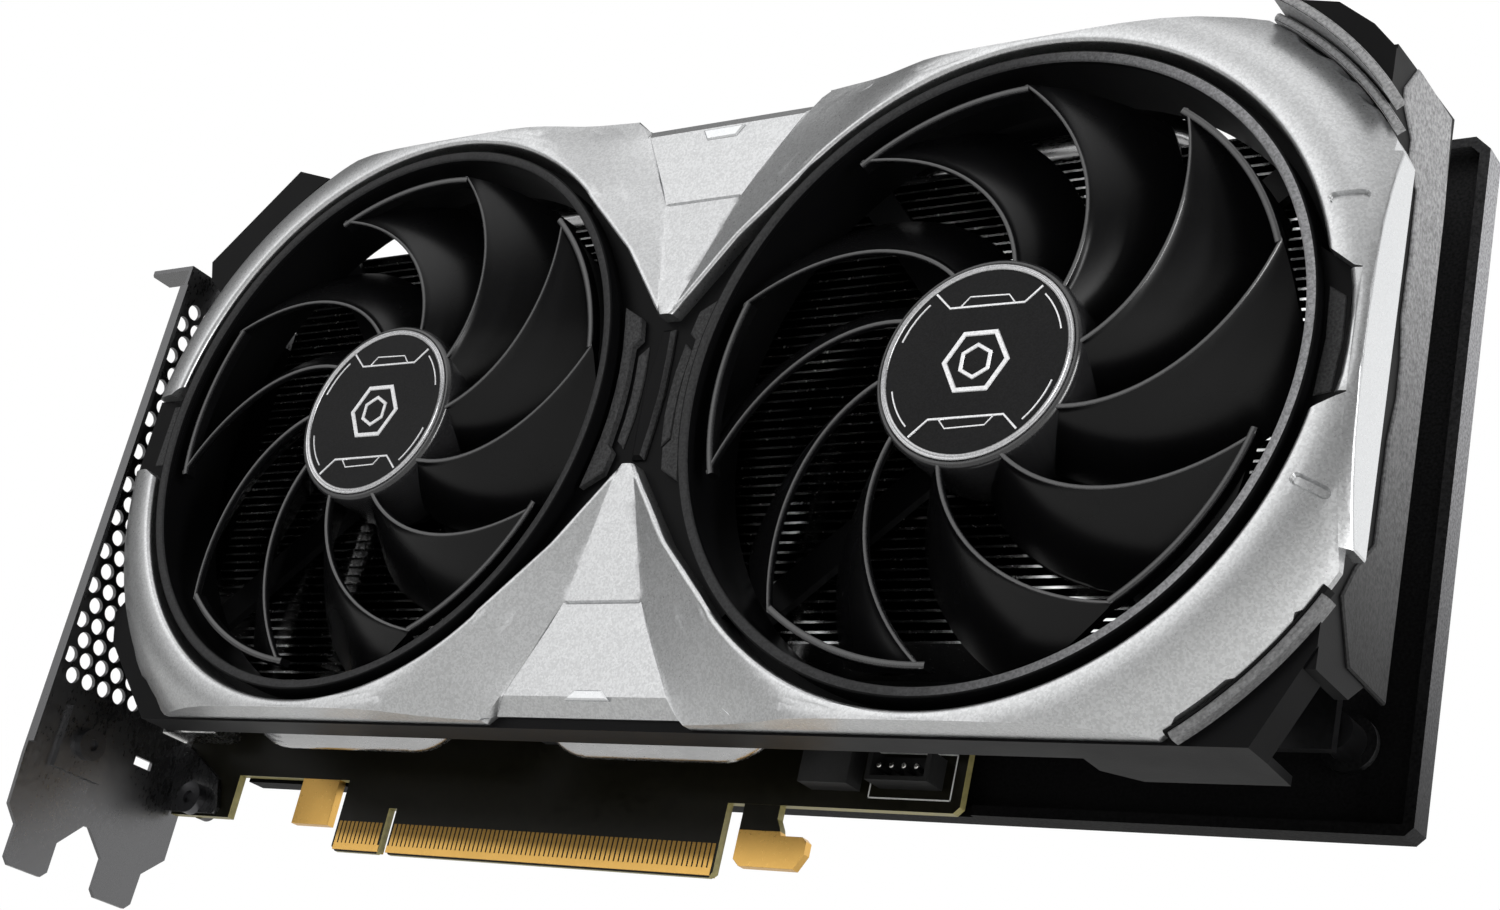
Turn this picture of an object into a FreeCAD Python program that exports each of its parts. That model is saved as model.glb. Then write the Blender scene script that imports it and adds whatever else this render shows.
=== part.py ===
import FreeCAD, Part
import math
import os

from FreeCAD import Vector

# Frame: X runs along the card from the bracket (-X) to the free end (+X), the fans face -Y and
# +Z points away from the slot. The origin is the centre of the key notch on the bottom edge of
# the edge connector, at mid-thickness of the board. Millimetres.

# ---- board and edge connector
PCB_HALF = 0.785
PCB_TOP = 98.0
PCB_RIGHT = 115.2
PCB_LEFT = -57.6
PCB_FLOOR = 12.2
KEY_HALF = 0.95
KEY_TOP = 8.25
EDGE_LEFT = -12.6
EDGE_RIGHT = 72.6
EDGE_BEVEL = 0.9
PAD_PITCH = 1.0
PAD_WIDTH = 0.7
PAD_DEEP = 0.06
PADS_SHORT = 11
PADS_LONG = 71

# ---- bracket
BR_OUT = -59.75
BR_IN = -58.89
BR_FRONT = -35.9
BR_REAR = 2.2
FLANGE_TOP = 105.32
FLANGE_UNDER = 104.46
FLANGE_REACH = 11.43
TAIL_TIP = -14.7
SLOT_YS = (-27.75, -7.35)
HOLE_R = 1.5
HOLE_PITCH = 3.8
HOLE_ROW = 3.43

# ---- backplate
BP_LEFT = -55.0
BP_RIGHT = 184.0
BP_BOTTOM = 12.4
BP_TOP = 120.3
BP_BACK = 5.0
BP_FLOOR = 3.6
BP_RIM = 0.25
BP_WALL = 1.6

# ---- fans
FAN_Z = 68.3
FAN_XS = {"left": 6.6, "right": 126.8}
TIP_ANGLES = {"left": 47.5, "right": 55.0}
BLADE_PAIRS = 5
HUB_R = 16.8
TIP_R = 46.8
BLADE_FRONT = -36.9
BLADE_REAR = -26.6
CHORD_DEG = 25.0
SWEEP_PER_MM = 1.56
BORE_R = 49.7
TUBE_R = 51.3
COVER_R = 53.0
LIP_FRONT = -38.1
TUBE_REAR = -24.5
MOUNT_REAR = -23.0
ARM_ANGLES = (41.0, 131.0, 221.0, 311.0)

# ---- cooler
FIN_FRONT = -22.0
FIN_REAR = -6.2
FIN_PITCH = 1.65
FIN_THICK = 0.4
PIPE_R = 3.0
PIPE_BEND = 9.0
LEAN = 1.6
BASE_REAR = -4.4
STACKS = {"main": (-44.0, 57.0, 24.0, 110.6), "far": (66.0, 174.0, 31.0, 110.6)}
GPU_X, GPU_Z = 30.0, 62.0

# ---- shroud and covers
DECK_FRONT = -31.4
DECK_REAR = -29.4
WALL = 1.8
COVER_FRONT = -38.2
COVER_OUT_R = 64.9
COVER_BOTTOM = 13.8
COVER_TOP = 122.8
COVER_LEFT = -53.0
COVER_SEAM = 183.4
SIDE_X = 185.0
CHANNEL_FRONT = -34.7
MIDDLE_X = 66.7


def box(x0, x1, y0, y1, z0, z1):
    return Part.makeBox(x1 - x0, y1 - y0, z1 - z0, Vector(x0, y0, z0))


def cyl_y(x, z, r, y0, y1):
    return Part.makeCylinder(r, y1 - y0, Vector(x, y0, z), Vector(0, 1, 0))


def cyl_x(y, z, r, x0, x1):
    return Part.makeCylinder(r, x1 - x0, Vector(x0, y, z), Vector(1, 0, 0))


def cyl_z(x, y, r, z0, z1):
    return Part.makeCylinder(r, z1 - z0, Vector(x, y, z0), Vector(0, 0, 1))


def tube_y(x, z, r_out, r_in, y0, y1):
    return cyl_y(x, z, r_out, y0, y1).cut(cyl_y(x, z, r_in, y0 - 1, y1 + 1))


def wire_y(points, y):
    ring = [Vector(x, y, z) for x, z in points]
    return Part.makePolygon(ring + ring[:1])


def slab_y(points, y0, y1):
    return Part.Face(wire_y(points, y0)).extrude(Vector(0, y1 - y0, 0))


def slab_x(points, x0, x1):
    ring = [Vector(x0, y, z) for y, z in points]
    return Part.Face(Part.makePolygon(ring + ring[:1])).extrude(Vector(x1 - x0, 0, 0))


def slab_z(points, z0, z1):
    ring = [Vector(x, y, z0) for x, y in points]
    return Part.Face(Part.makePolygon(ring + ring[:1])).extrude(Vector(0, 0, z1 - z0))


def inset(points, steps):
    """Each edge i (point i to i+1) moves inward by steps[i]; the ring runs clockwise in x, z."""
    moved = []
    count = len(points)
    for i in range(count):
        (x0, z0), (x1, z1) = points[i], points[(i + 1) % count]
        length = math.hypot(x1 - x0, z1 - z0)
        nx, nz = (z1 - z0) / length, -(x1 - x0) / length
        moved.append((x0 + nx * steps[i], z0 + nz * steps[i], x1 - x0, z1 - z0))
    out = []
    for i in range(count):
        ax, az, ux, uz = moved[i - 1]
        bx, bz, vx, vz = moved[i]
        cross = ux * vz - uz * vx
        if abs(cross) < 1e-6:
            out.append((bx, bz))
            continue
        t = ((bx - ax) * vz - (bz - az) * vx) / cross
        out.append((ax + ux * t, az + uz * t))
    return out


def polar(cx, cz, r, degrees):
    a = math.radians(degrees)
    return cx + r * math.cos(a), cz + r * math.sin(a)


def group(shapes):
    return Part.makeCompound(shapes)


def fused(shapes):
    whole = shapes[0].multiFuse(shapes[1:]) if len(shapes) > 1 else shapes[0]
    return whole.removeSplitter()


# ---- board -----------------------------------------------------------------------------------

STUD_XZ = [(GPU_X + sx * 22.0, GPU_Z + sz * 22.0) for sx in (-1, 1) for sz in (-1, 1)]
BOARD_SCREWS = [(-38.0, 90.0), (111.0, 78.0), (108.0, 26.0)]


def pcb():
    outline = [
        (PCB_LEFT, 4.8), (-41.6, 4.8), (-41.6, 13.0), (EDGE_LEFT, 13.0), (EDGE_LEFT, 0.8),
        (EDGE_LEFT + 0.8, 0), (-KEY_HALF - 0.5, 0), (-KEY_HALF, 0.5), (-KEY_HALF, KEY_TOP),
        (KEY_HALF, KEY_TOP), (KEY_HALF, 0.5), (KEY_HALF + 0.5, 0), (EDGE_RIGHT - 0.8, 0),
        (EDGE_RIGHT, 0.8), (EDGE_RIGHT, PCB_FLOOR), (PCB_RIGHT - 1.0, PCB_FLOOR),
        (PCB_RIGHT, PCB_FLOOR + 1.0), (PCB_RIGHT, PCB_TOP), (-50.0, PCB_TOP), (PCB_LEFT, 92.0),
    ]
    board = slab_y(outline, -PCB_HALF, PCB_HALF)
    for side in (-1, 1):
        bevel = slab_x([(side * 0.3, -0.1), (side * 1.0, -0.1), (side * 1.0, EDGE_BEVEL)],
                       EDGE_LEFT - 1, EDGE_RIGHT + 1)
        board = board.cut(bevel)
    holes = [cyl_y(x, z, 1.8, -2, 2) for x, z in STUD_XZ + BOARD_SCREWS]
    holes.append(cyl_y(-51.2, 7.6, 1.8, -2, 2))
    return board.cut(group(holes))


def edge_contacts():
    pads = []
    for start, count in ((EDGE_LEFT + 0.6, PADS_SHORT), (KEY_HALF + 0.6, PADS_LONG)):
        for i in range(count):
            x = start + 0.22 + i * PAD_PITCH - PAD_WIDTH / 2
            pads.append(box(x, x + PAD_WIDTH, -PCB_HALF - PAD_DEEP, -PCB_HALF, 1.2, 5.5))
            pads.append(box(x, x + PAD_WIDTH, PCB_HALF, PCB_HALF + PAD_DEEP, 1.2, 5.5))
    return group(pads)


def plated_tabs():
    tab = box(-24.4, -15.1, -PCB_HALF, PCB_HALF, 4.5, 13.0)
    hook = slab_y(
        [(82.8, PCB_FLOOR), (82.8, 10.0), (83.6, 8.6), (84.0, 7.3), (88.2, 7.3), (89.1, 6.6),
         (89.1, 4.6), (87.6, 2.1), (77.2, 2.1), (75.9, 3.2), (75.9, PCB_FLOOR)],
        -PCB_HALF, PCB_HALF)
    return group([tab, hook])


def gpu_package():
    return box(GPU_X - 18, GPU_X + 18, -2.35, -PCB_HALF, GPU_Z - 18, GPU_Z + 18)


def gpu_die():
    return box(GPU_X - 10, GPU_X + 10, -3.2, -2.35, GPU_Z - 8, GPU_Z + 8)


MEMORY_XZ = [(GPU_X + 34, GPU_Z - 16), (GPU_X + 34, GPU_Z), (GPU_X + 34, GPU_Z + 16),
             (GPU_X - 36, GPU_Z - 8), (GPU_X - 36, GPU_Z + 8), (GPU_X + 7.5, GPU_Z - 34)]
STAGE_XZ = [(-20.0, 32.0 + 9.0 * i) for i in range(7)]


def memory_chips():
    return group([box(x - 6, x + 6, -1.985, -PCB_HALF, z - 7, z + 7) for x, z in MEMORY_XZ])


def chokes():
    return group([box(x - 14, x - 6, -4.2, -PCB_HALF, z - 3.6, z + 3.6) for x, z in STAGE_XZ])


def power_stages():
    return group([box(x - 3, x + 3, -1.785, -PCB_HALF, z - 2.5, z + 2.5) for x, z in STAGE_XZ])


def capacitors():
    return group([cyl_y(84.0, 38.0 + 8.0 * i, 3.1, -4.1, -PCB_HALF) for i in range(6)])


def thermal_pads():
    pads = [box(x - 5.5, x + 5.5, BASE_REAR, -1.985, z - 6.5, z + 6.5) for x, z in MEMORY_XZ]
    pads += [box(x - 2.8, x + 2.8, BASE_REAR, -1.785, z - 2.3, z + 2.3) for x, z in STAGE_XZ]
    return group(pads)


# ---- power socket at the top edge --------------------------------------------------------------

POWER_X = 102.0
POWER_COLS = 4
POWER_PITCH = 4.2


def power_cells():
    return [(POWER_X + (i - 1.5) * POWER_PITCH, y) for i in range(POWER_COLS) for y in (-8.1, -3.9)]


def power_connector():
    body = box(POWER_X - 9.6, POWER_X + 9.6, -11.0, -PCB_HALF, 88.0, 102.0)
    cells = [box(x - 1.75, x + 1.75, y - 1.75, y + 1.75, 91.0, 103.0) for x, y in power_cells()]
    latch = box(POWER_X - 2.0, POWER_X + 2.0, -12.4, -11.0, 97.0, 100.0)
    return fused([body.cut(group(cells)), latch])


def power_pins():
    return group([box(x - 0.5, x + 0.5, y - 0.5, y + 0.5, 91.0, 99.5) for x, y in power_cells()])


def fan_header():
    body = box(100.4, 111.6, -5.4, -PCB_HALF, 15.6, 20.4)
    recess = box(101.2, 110.8, -6.0, -1.6, 16.3, 21.0)
    pins = [box(102.0 + 2.2 * i, 102.6 + 2.2 * i, -5.0, -1.6, 17.6, 18.2) for i in range(4)]
    return fused([body.cut(recess)] + pins)


def fan_lead():
    plug = box(88.0, 97.0, -5.0, -PCB_HALF, 15.0, 21.5)
    wires = [box(88.6 + 2.1 * i, 90.0 + 2.1 * i, -4.0, -2.6, 21.5, 30.0) for i in range(4)]
    return fused([plug] + wires)


# ---- bracket -------------------------------------------------------------------------------------

DP_ZS = (28.0, 50.0, 72.0)
HDMI_Z = 92.0
SOCKET_Y = (-7.1, -PCB_HALF)


def bracket_holes():
    holes = []
    rows = int((98.0 - 21.0) / HOLE_ROW) + 1
    for j in range(rows):
        z = 96.9 - j * HOLE_ROW
        shift = 0 if j % 2 == 0 else -HOLE_PITCH / 2
        for i in range(6):
            y = -31.3 + shift + i * HOLE_PITCH
            if y < -12.0:
                holes.append(cyl_x(y, z, HOLE_R, BR_OUT - 1, BR_IN + 1))
    return holes


def io_bracket():
    outline = [
        (BR_FRONT, 5.0), (BR_FRONT + 0.4, -4.5), (-32.7, -7.5), (-32.7, -13.5), (-31.5, TAIL_TIP),
        (-24.1, TAIL_TIP), (-22.9, -13.5), (-22.9, -8.0), (-18.2, -3.2), (-16.9, -3.2),
        (-12.2, -7.7), (-12.2, -13.5), (-11.0, TAIL_TIP), (-3.7, TAIL_TIP), (-2.5, -13.5),
        (-2.3, -7.6), (BR_REAR, -3.6), (BR_REAR, FLANGE_TOP), (BR_FRONT + 0.8, FLANGE_TOP),
        (BR_FRONT + 0.8, 100.6), (BR_FRONT, 100.6),
    ]
    plate = slab_x(outline, BR_OUT, BR_IN)
    lip = box(BR_IN, BR_OUT + 2.3, BR_FRONT, BR_FRONT + 0.8, 7.2, 100.6)
    flange = slab_z(
        [(BR_OUT - FLANGE_REACH, BR_FRONT + 1.6), (BR_OUT - FLANGE_REACH + 0.8, BR_FRONT + 0.8),
         (BR_OUT, BR_FRONT + 0.8), (BR_OUT, BR_REAR), (BR_OUT - FLANGE_REACH + 1.5, BR_REAR),
         (BR_OUT - FLANGE_REACH, BR_REAR - 1.5)], FLANGE_UNDER, FLANGE_TOP)
    notches = []
    for y in SLOT_YS:
        notches.append(box(-72, -64.9, y - 2.21, y + 2.21, FLANGE_UNDER - 1, FLANGE_TOP + 1))
        notches.append(cyl_z(-64.9, y, 2.21, FLANGE_UNDER - 1, FLANGE_TOP + 1))
    pad = box(BR_IN, BR_IN + 1.2, -29.8, -18.6, 4.6, 16.2)
    foot = slab_y([(BR_IN, 5.2), (-45.2, 5.2), (-44.4, 6.4), (-46.4, 11.9), (BR_IN, 19.0)],
                  -1.65, -PCB_HALF)
    whole = fused([plate, lip, flange.cut(group(notches)), pad, foot])
    cuts = bracket_holes()
    for z in DP_ZS:
        cuts.append(box(BR_OUT - 1, BR_IN + 1, SOCKET_Y[0] - 0.35, -0.4, z - 9.35, z + 9.35))
    cuts.append(box(BR_OUT - 1, BR_IN + 1, SOCKET_Y[0] - 0.35, -0.4, HDMI_Z - 8.35, HDMI_Z + 8.35))
    cuts.append(cyl_y(-51.2, 7.6, 1.8, -3, 0))
    cuts.append(cyl_x(-24.2, 10.4, 1.56, BR_OUT - 1, BR_IN + 3))
    cuts.append(box(BR_OUT - 1, BR_IN + 1, -11.8, -7.6, 10.9, 12.6))
    return whole.cut(group(cuts))


def bracket_screws():
    board_screw = fused([cyl_y(-51.2, 7.6, 3.0, -3.4, -1.65), cyl_y(-51.2, 7.6, 1.5, -1.65, 1.6)])
    board_nut = tube_y(-51.2, 7.6, 3.0, 1.55, PCB_HALF, 2.6)
    drive = cyl_y(-51.2, 7.6, 1.2, -4.0, -2.6)
    pad_screw = fused([cyl_x(-24.2, 10.4, 2.9, BR_IN + 1.2, BR_IN + 2.9),
                       cyl_x(-24.2, 10.4, 1.5, BR_OUT, BR_IN + 1.2)])
    pad_drive = cyl_x(-24.2, 10.4, 1.1, BR_IN + 2.1, BR_IN + 3.5)
    return group([board_screw.cut(drive), board_nut, pad_screw.cut(pad_drive)])


def socket_shell(z, half, x_in, wall):
    shell = box(BR_OUT - 1.0, x_in, SOCKET_Y[0], SOCKET_Y[1], z - half, z + half)
    mouth = box(BR_OUT - 2.0, x_in - 3.0, SOCKET_Y[0] + wall, SOCKET_Y[1] - wall,
                z - half + wall, z + half - wall)
    tongue = box(BR_OUT + 2.0, x_in - 2.9, -4.4, -3.5, z - half + 2.2, z + half - 2.2)
    return fused([shell.cut(mouth), tongue])


def displayport_sockets():
    return group([socket_shell(z, 9.0, -44.6, 0.7) for z in DP_ZS])


def hdmi_socket():
    shell = socket_shell(HDMI_Z, 8.0, -48.0, 0.7)
    corners = [slab_x([(SOCKET_Y[0], HDMI_Z + s * 8.0), (SOCKET_Y[0] + 2.2, HDMI_Z + s * 8.0),
                       (SOCKET_Y[0], HDMI_Z + s * 6.4)], BR_OUT - 2, -50.0) for s in (-1, 1)]
    return shell.cut(group(corners))


# ---- cooler ----------------------------------------------------------------------------------------

def bent_pipe(x0, x1, y, z_run, z_end, bend=PIPE_BEND):
    """A pipe with two vertical legs at x0 and x1, joined by a run at z_run."""
    up = 1 if z_end > z_run else -1
    s = math.sqrt(0.5)
    mids = ((x0 + bend * (1 - s), z_run + up * bend * (1 - s)),
            (x1 - bend * (1 - s), z_run + up * bend * (1 - s)))
    legs = [
        Part.makeLine(Vector(x0, y, z_end), Vector(x0, y, z_run + up * bend)),
        Part.Arc(Vector(x0, y, z_run + up * bend), Vector(mids[0][0], y, mids[0][1]),
                 Vector(x0 + bend, y, z_run)).toShape(),
        Part.makeLine(Vector(x0 + bend, y, z_run), Vector(x1 - bend, y, z_run)),
        Part.Arc(Vector(x1 - bend, y, z_run), Vector(mids[1][0], y, mids[1][1]),
                 Vector(x1, y, z_run + up * bend)).toShape(),
        Part.makeLine(Vector(x1, y, z_run + up * bend), Vector(x1, y, z_end)),
    ]
    start = Part.Wire(Part.makeCircle(PIPE_R, Vector(x0, y, z_end), Vector(0, 0, 1)))
    return Part.Wire(legs).makePipeShell([start], True, True)


LOW_PIPES = [(-25.0, 23.0), (44.0, 88.0)]
HIGH_PIPES = [(34.0, 76.0, -10.5), (-8.0, 150.0, -17.5)]
LOW_PIPE_Y = -14.0
LOW_RUN = 17.6
HIGH_RUN = 115.0
LOW_END = 109.0
HIGH_END = 33.0


def pipe_holes(z):
    """Holes of the pipe legs in the fin at height z, drawn out where the legs lean into their bends."""
    legs = []
    for x0, x1 in LOW_PIPES:
        legs.append((x0, x1, LOW_PIPE_Y, z < LOW_RUN + PIPE_BEND))
    for x0, x1, y in HIGH_PIPES:
        legs.append((x0, x1, y, z + FIN_THICK > HIGH_RUN - PIPE_BEND))
    r = PIPE_R + 0.05
    holes = []
    for x0, x1, y, leans in legs:
        holes += [cyl_z(x0, y, r, -1, 1), cyl_z(x1, y, r, -1, 1)]
        if leans:
            holes += [cyl_z(x0 + LEAN, y, r, -1, 1), box(x0, x0 + LEAN, y - r, y + r, -1, 1),
                      cyl_z(x1 - LEAN, y, r, -1, 1), box(x1 - LEAN, x1, y - r, y + r, -1, 1)]
    return holes


def heat_pipes():
    low = [bent_pipe(x0, x1, LOW_PIPE_Y, LOW_RUN, LOW_END) for x0, x1 in LOW_PIPES]
    high = [bent_pipe(x0, x1, y, HIGH_RUN, HIGH_END) for x0, x1, y in HIGH_PIPES]
    return group(low + high)


def fin_stack(name):
    x0, x1, z0, z1 = STACKS[name]
    outline = [(x0, FIN_REAR), (x1, FIN_REAR), (x1, FIN_FRONT + 4.0), (x1 - 5.0, FIN_FRONT),
               (x0 + 5.0, FIN_FRONT), (x0, FIN_FRONT + 4.0)]
    blank = slab_z(outline, 0, FIN_THICK)
    socket = box(POWER_X - 10.4, POWER_X + 10.4, -13.4, FIN_REAR + 1, -1, 1)
    count = int((z1 - z0) / FIN_PITCH) + 1
    fins = []
    for i in range(count):
        z = z0 + i * FIN_PITCH
        cuts = pipe_holes(z) + ([socket] if z > 86.0 else [])
        fin = blank.cut(group(cuts))
        fin.translate(Vector(0, 0, z))
        fins.append(fin)
    return group(fins)


def cold_plate():
    plate = box(GPU_X - 26, GPU_X + 26, FIN_REAR, -3.2, GPU_Z - 26, GPU_Z + 26)
    posts = [cyl_y(x, z, 3.0, -3.2, -PCB_HALF) for x, z in STUD_XZ]
    bores = [cyl_y(x, z, 1.56, -5.6, 0) for x, z in STUD_XZ]
    return fused([plate] + posts).cut(group(bores))


def base_plate():
    """Frame that carries the fins, with a window for the cold plate and feet on the board."""
    plate = box(-44.0, 174.0, FIN_REAR, BASE_REAR, 22.0, 110.6)
    window = box(GPU_X - 26, GPU_X + 26, -7, -3, GPU_Z - 26, GPU_Z + 26)
    vents = [box(122.0 + 8.4 * i, 126.0 + 8.4 * i, -7, -3, 32.0, 104.0) for i in range(6)]
    socket = box(POWER_X - 10.4, POWER_X + 10.4, -7, -3, 87.0, 111.0)
    feet = [cyl_y(x, z, 3.6, BASE_REAR, -PCB_HALF) for x, z in BOARD_SCREWS]
    bores = [cyl_y(x, z, 1.56, -7.0, 0) for x, z in BOARD_SCREWS]
    body = plate.cut(group([window, socket] + vents))
    return fused([body] + feet).cut(group(bores))


def retention_bracket():
    arms = []
    for s in (1, -1):
        arm = box(GPU_X - 34, GPU_X + 34, 1.6, 2.8, GPU_Z - 4.5, GPU_Z + 4.5)
        arm.rotate(Vector(GPU_X, 0, GPU_Z), Vector(0, 1, 0), 45.0 * s)
        arms.append(arm)
    pad = box(GPU_X - 13, GPU_X + 13, PCB_HALF, 2.8, GPU_Z - 13, GPU_Z + 13)
    holes = [cyl_y(x, z, 1.8, 0, 4) for x, z in STUD_XZ]
    return fused(arms + [pad]).cut(group(holes))


def retention_screws():
    screws = []
    for x, z in STUD_XZ:
        head = cyl_y(x, z, 3.0, 2.8, 4.6).cut(cyl_y(x, z, 1.2, 3.6, 5.0))
        screws.append(fused([head, cyl_y(x, z, 1.5, -5.2, 2.8)]))
    return group(screws)


# ---- backplate ---------------------------------------------------------------------------------------

BACKPLATE_SCREWS = [(172.5, 25.9), (172.5, 110.0)]


def backplate():
    outline = [(BP_LEFT, 14.6), (-41.0, 14.6), (-41.0, BP_BOTTOM), (BP_RIGHT - 1.2, BP_BOTTOM),
               (BP_RIGHT, BP_BOTTOM + 1.2), (BP_RIGHT, BP_TOP - 2.4), (BP_RIGHT - 2.4, BP_TOP),
               (-36.0, BP_TOP), (BP_LEFT, 103.0)]
    floor = slab_y(outline, BP_FLOOR, BP_BACK)
    right_rim = slab_y([(116.6, BP_BOTTOM), (BP_RIGHT - 1.2, BP_BOTTOM), (BP_RIGHT, BP_BOTTOM + 1.2),
                        (BP_RIGHT, BP_TOP - 2.4), (BP_RIGHT - 2.4, BP_TOP), (116.6, BP_TOP),
                        (116.6, BP_TOP - BP_WALL), (BP_RIGHT - 3.0, BP_TOP - BP_WALL),
                        (BP_RIGHT - BP_WALL, BP_TOP - 3.0), (BP_RIGHT - BP_WALL, BP_BOTTOM + 1.8),
                        (BP_RIGHT - 1.8, BP_BOTTOM + BP_WALL), (116.6, BP_BOTTOM + BP_WALL)],
                       BP_RIM, BP_FLOOR)
    top_rim = box(-35.0, 116.6, BP_RIM, BP_FLOOR, BP_TOP - BP_WALL, BP_TOP)
    low_rim = box(-41.0, 116.6, 1.2, BP_FLOOR, BP_BOTTOM, BP_BOTTOM + BP_WALL)
    stands = [cyl_y(x, z, 3.4, PCB_HALF, BP_FLOOR) for x, z in BOARD_SCREWS]
    bosses = [cyl_y(x, z, 4.2, BP_FLOOR - 1.2, BP_FLOOR) for x, z in BACKPLATE_SCREWS]
    body = fused([floor, right_rim, top_rim, low_rim] + stands + bosses)
    cuts = [box(GPU_X - 31, GPU_X + 31, 0, 6, GPU_Z - 31, GPU_Z + 31)]
    for i in range(7):
        for z0 in (34.0, 72.0):
            x = 124.0 + 6.8 * i
            cuts.append(slab_y([(x, z0), (x + 3.6, z0), (x + 9.6, z0 + 28), (x + 6.0, z0 + 28)], 3, 6))
    cuts += [cyl_y(x, z, 1.8, -1, 6) for x, z in BOARD_SCREWS + BACKPLATE_SCREWS]
    cuts += [cyl_y(x, z, 3.3, 4.0, 6) for x, z in BOARD_SCREWS + BACKPLATE_SCREWS]
    return body.cut(group(cuts))


def backplate_screws():
    screws = []
    for x, z in BOARD_SCREWS:
        head = cyl_y(x, z, 3.0, 4.0, 4.9).cut(cyl_y(x, z, 1.1, 4.4, 6))
        screws.append(fused([head, cyl_y(x, z, 1.5, -5.8, 4.0)]))
    for x, z in BACKPLATE_SCREWS:
        head = cyl_y(x, z, 3.0, 4.0, 4.9).cut(cyl_y(x, z, 1.1, 4.4, 6))
        tip = cyl_y(x, z, 2.8, -3.0, 2.4).cut(cyl_y(x, z, 1.2, -4.0, -2.0))
        screws.append(fused([head, cyl_y(x, z, 1.5, 2.4, 4.0), tip]))
    return group(screws)


# ---- shroud and covers -----------------------------------------------------------------------------------

SHROUD_RING = [
    (-51.4, 60.0), (-51.2, 88.5), (-49.6, 98.6), (-54.8, 103.0), (-56.4, 107.0), (-38.8, 125.2),
    (-28.4, 122.0), (48.0, 122.0), (51.0, 118.2), (82.4, 118.2), (85.4, 122.0), (163.0, 122.0),
    (165.5, 126.6), (171.8, 125.0), (177.6, 120.2), (181.3, 115.6), (181.3, 27.0), (174.0, 13.4),
    (-35.8, 13.4), (-50.4, 27.8), (-52.6, 33.7), (-48.6, 38.6),
]
ARM_LUG_R = 54.4

# Radius and depth of the silver ring from its inner edge outwards, about a fan axis.
COVER_PROFILE = [(COVER_R, DECK_FRONT), (COVER_R, -37.3), (53.5, -38.0), (54.2, COVER_FRONT),
                 (56.2, -38.0), (58.2, -37.5), (60.2, -36.5), (63.0, -34.4), (COVER_OUT_R, -32.6),
                 (COVER_OUT_R, DECK_FRONT)]
# Height above the fan axis and depth of the pointed centre web.
WEB_PROFILE = [(13.2, DECK_FRONT), (13.2, -37.6), (35.5, -35.1), (50.5, -34.1), (53.2, -31.8),
               (53.2, DECK_FRONT)]
WEB_EDGE = ((46.0, 53.6), (28.5, 55.3))
WEB_FOOT = 20.2
TIP_HALF = 1.4
NOTCH_RIGHT = [(170.0, 87.3), (181.4, 78.3), (181.4, 57.0), (170.0, 52.3)]
NOTCH_LEFT = [(-40.0, 80.0), (-48.5, 75.0), (-54.0, 75.0), (-54.0, 60.2), (-48.5, 59.6), (-40.0, 55.0)]


def channel_outline():
    """The dark channel between the fans: two pointed ends and four curved flanks."""
    quarter = [(MIDDLE_X + TIP_HALF, 13.2)]
    for a, r in WEB_EDGE[::-1]:
        x, z = polar(FAN_XS["right"], 0, r, 180.0 - a)
        quarter.append((x, z))
    quarter.append(polar(FAN_XS["right"], 0, 50.5, 180.0 - 46.0))
    right = quarter + [(x, -z) for x, z in quarter[::-1]]
    left = [(2 * MIDDLE_X - x, z) for x, z in right[::-1]]
    return [(x, FAN_Z + z) for x, z in right + left]


def fan_cuts(r, y0, y1):
    return [cyl_y(cx, FAN_Z, r, y0, y1) for cx in FAN_XS.values()]


def arm_lugs(side, r, y0, y1):
    return [cyl_y(*polar(FAN_XS[side], FAN_Z, ARM_LUG_R, a), r, y0, y1) for a in ARM_ANGLES]


def ring_solid(side, profile):
    cx = FAN_XS[side]
    ring = [Vector(cx + r, y, FAN_Z) for r, y in profile]
    face = Part.Face(Part.makePolygon(ring + ring[:1]))
    return face.revolve(Vector(cx, 0, FAN_Z), Vector(0, 1, 0), 360)


def ridge(side, r_in, r_out, y0, a0, a1):
    """Raised arc on the deck, from angle a0 to a1 about a fan."""
    cx = FAN_XS[side]
    arc = tube_y(cx, FAN_Z, r_out, r_in, y0, DECK_FRONT)
    spans = [polar(cx, FAN_Z, 90.0, a0 + (a1 - a0) * k / 3.0) for k in range(4)]
    return arc.common(slab_y([(cx, FAN_Z)] + spans, y0 - 1, DECK_FRONT + 1))


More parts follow.
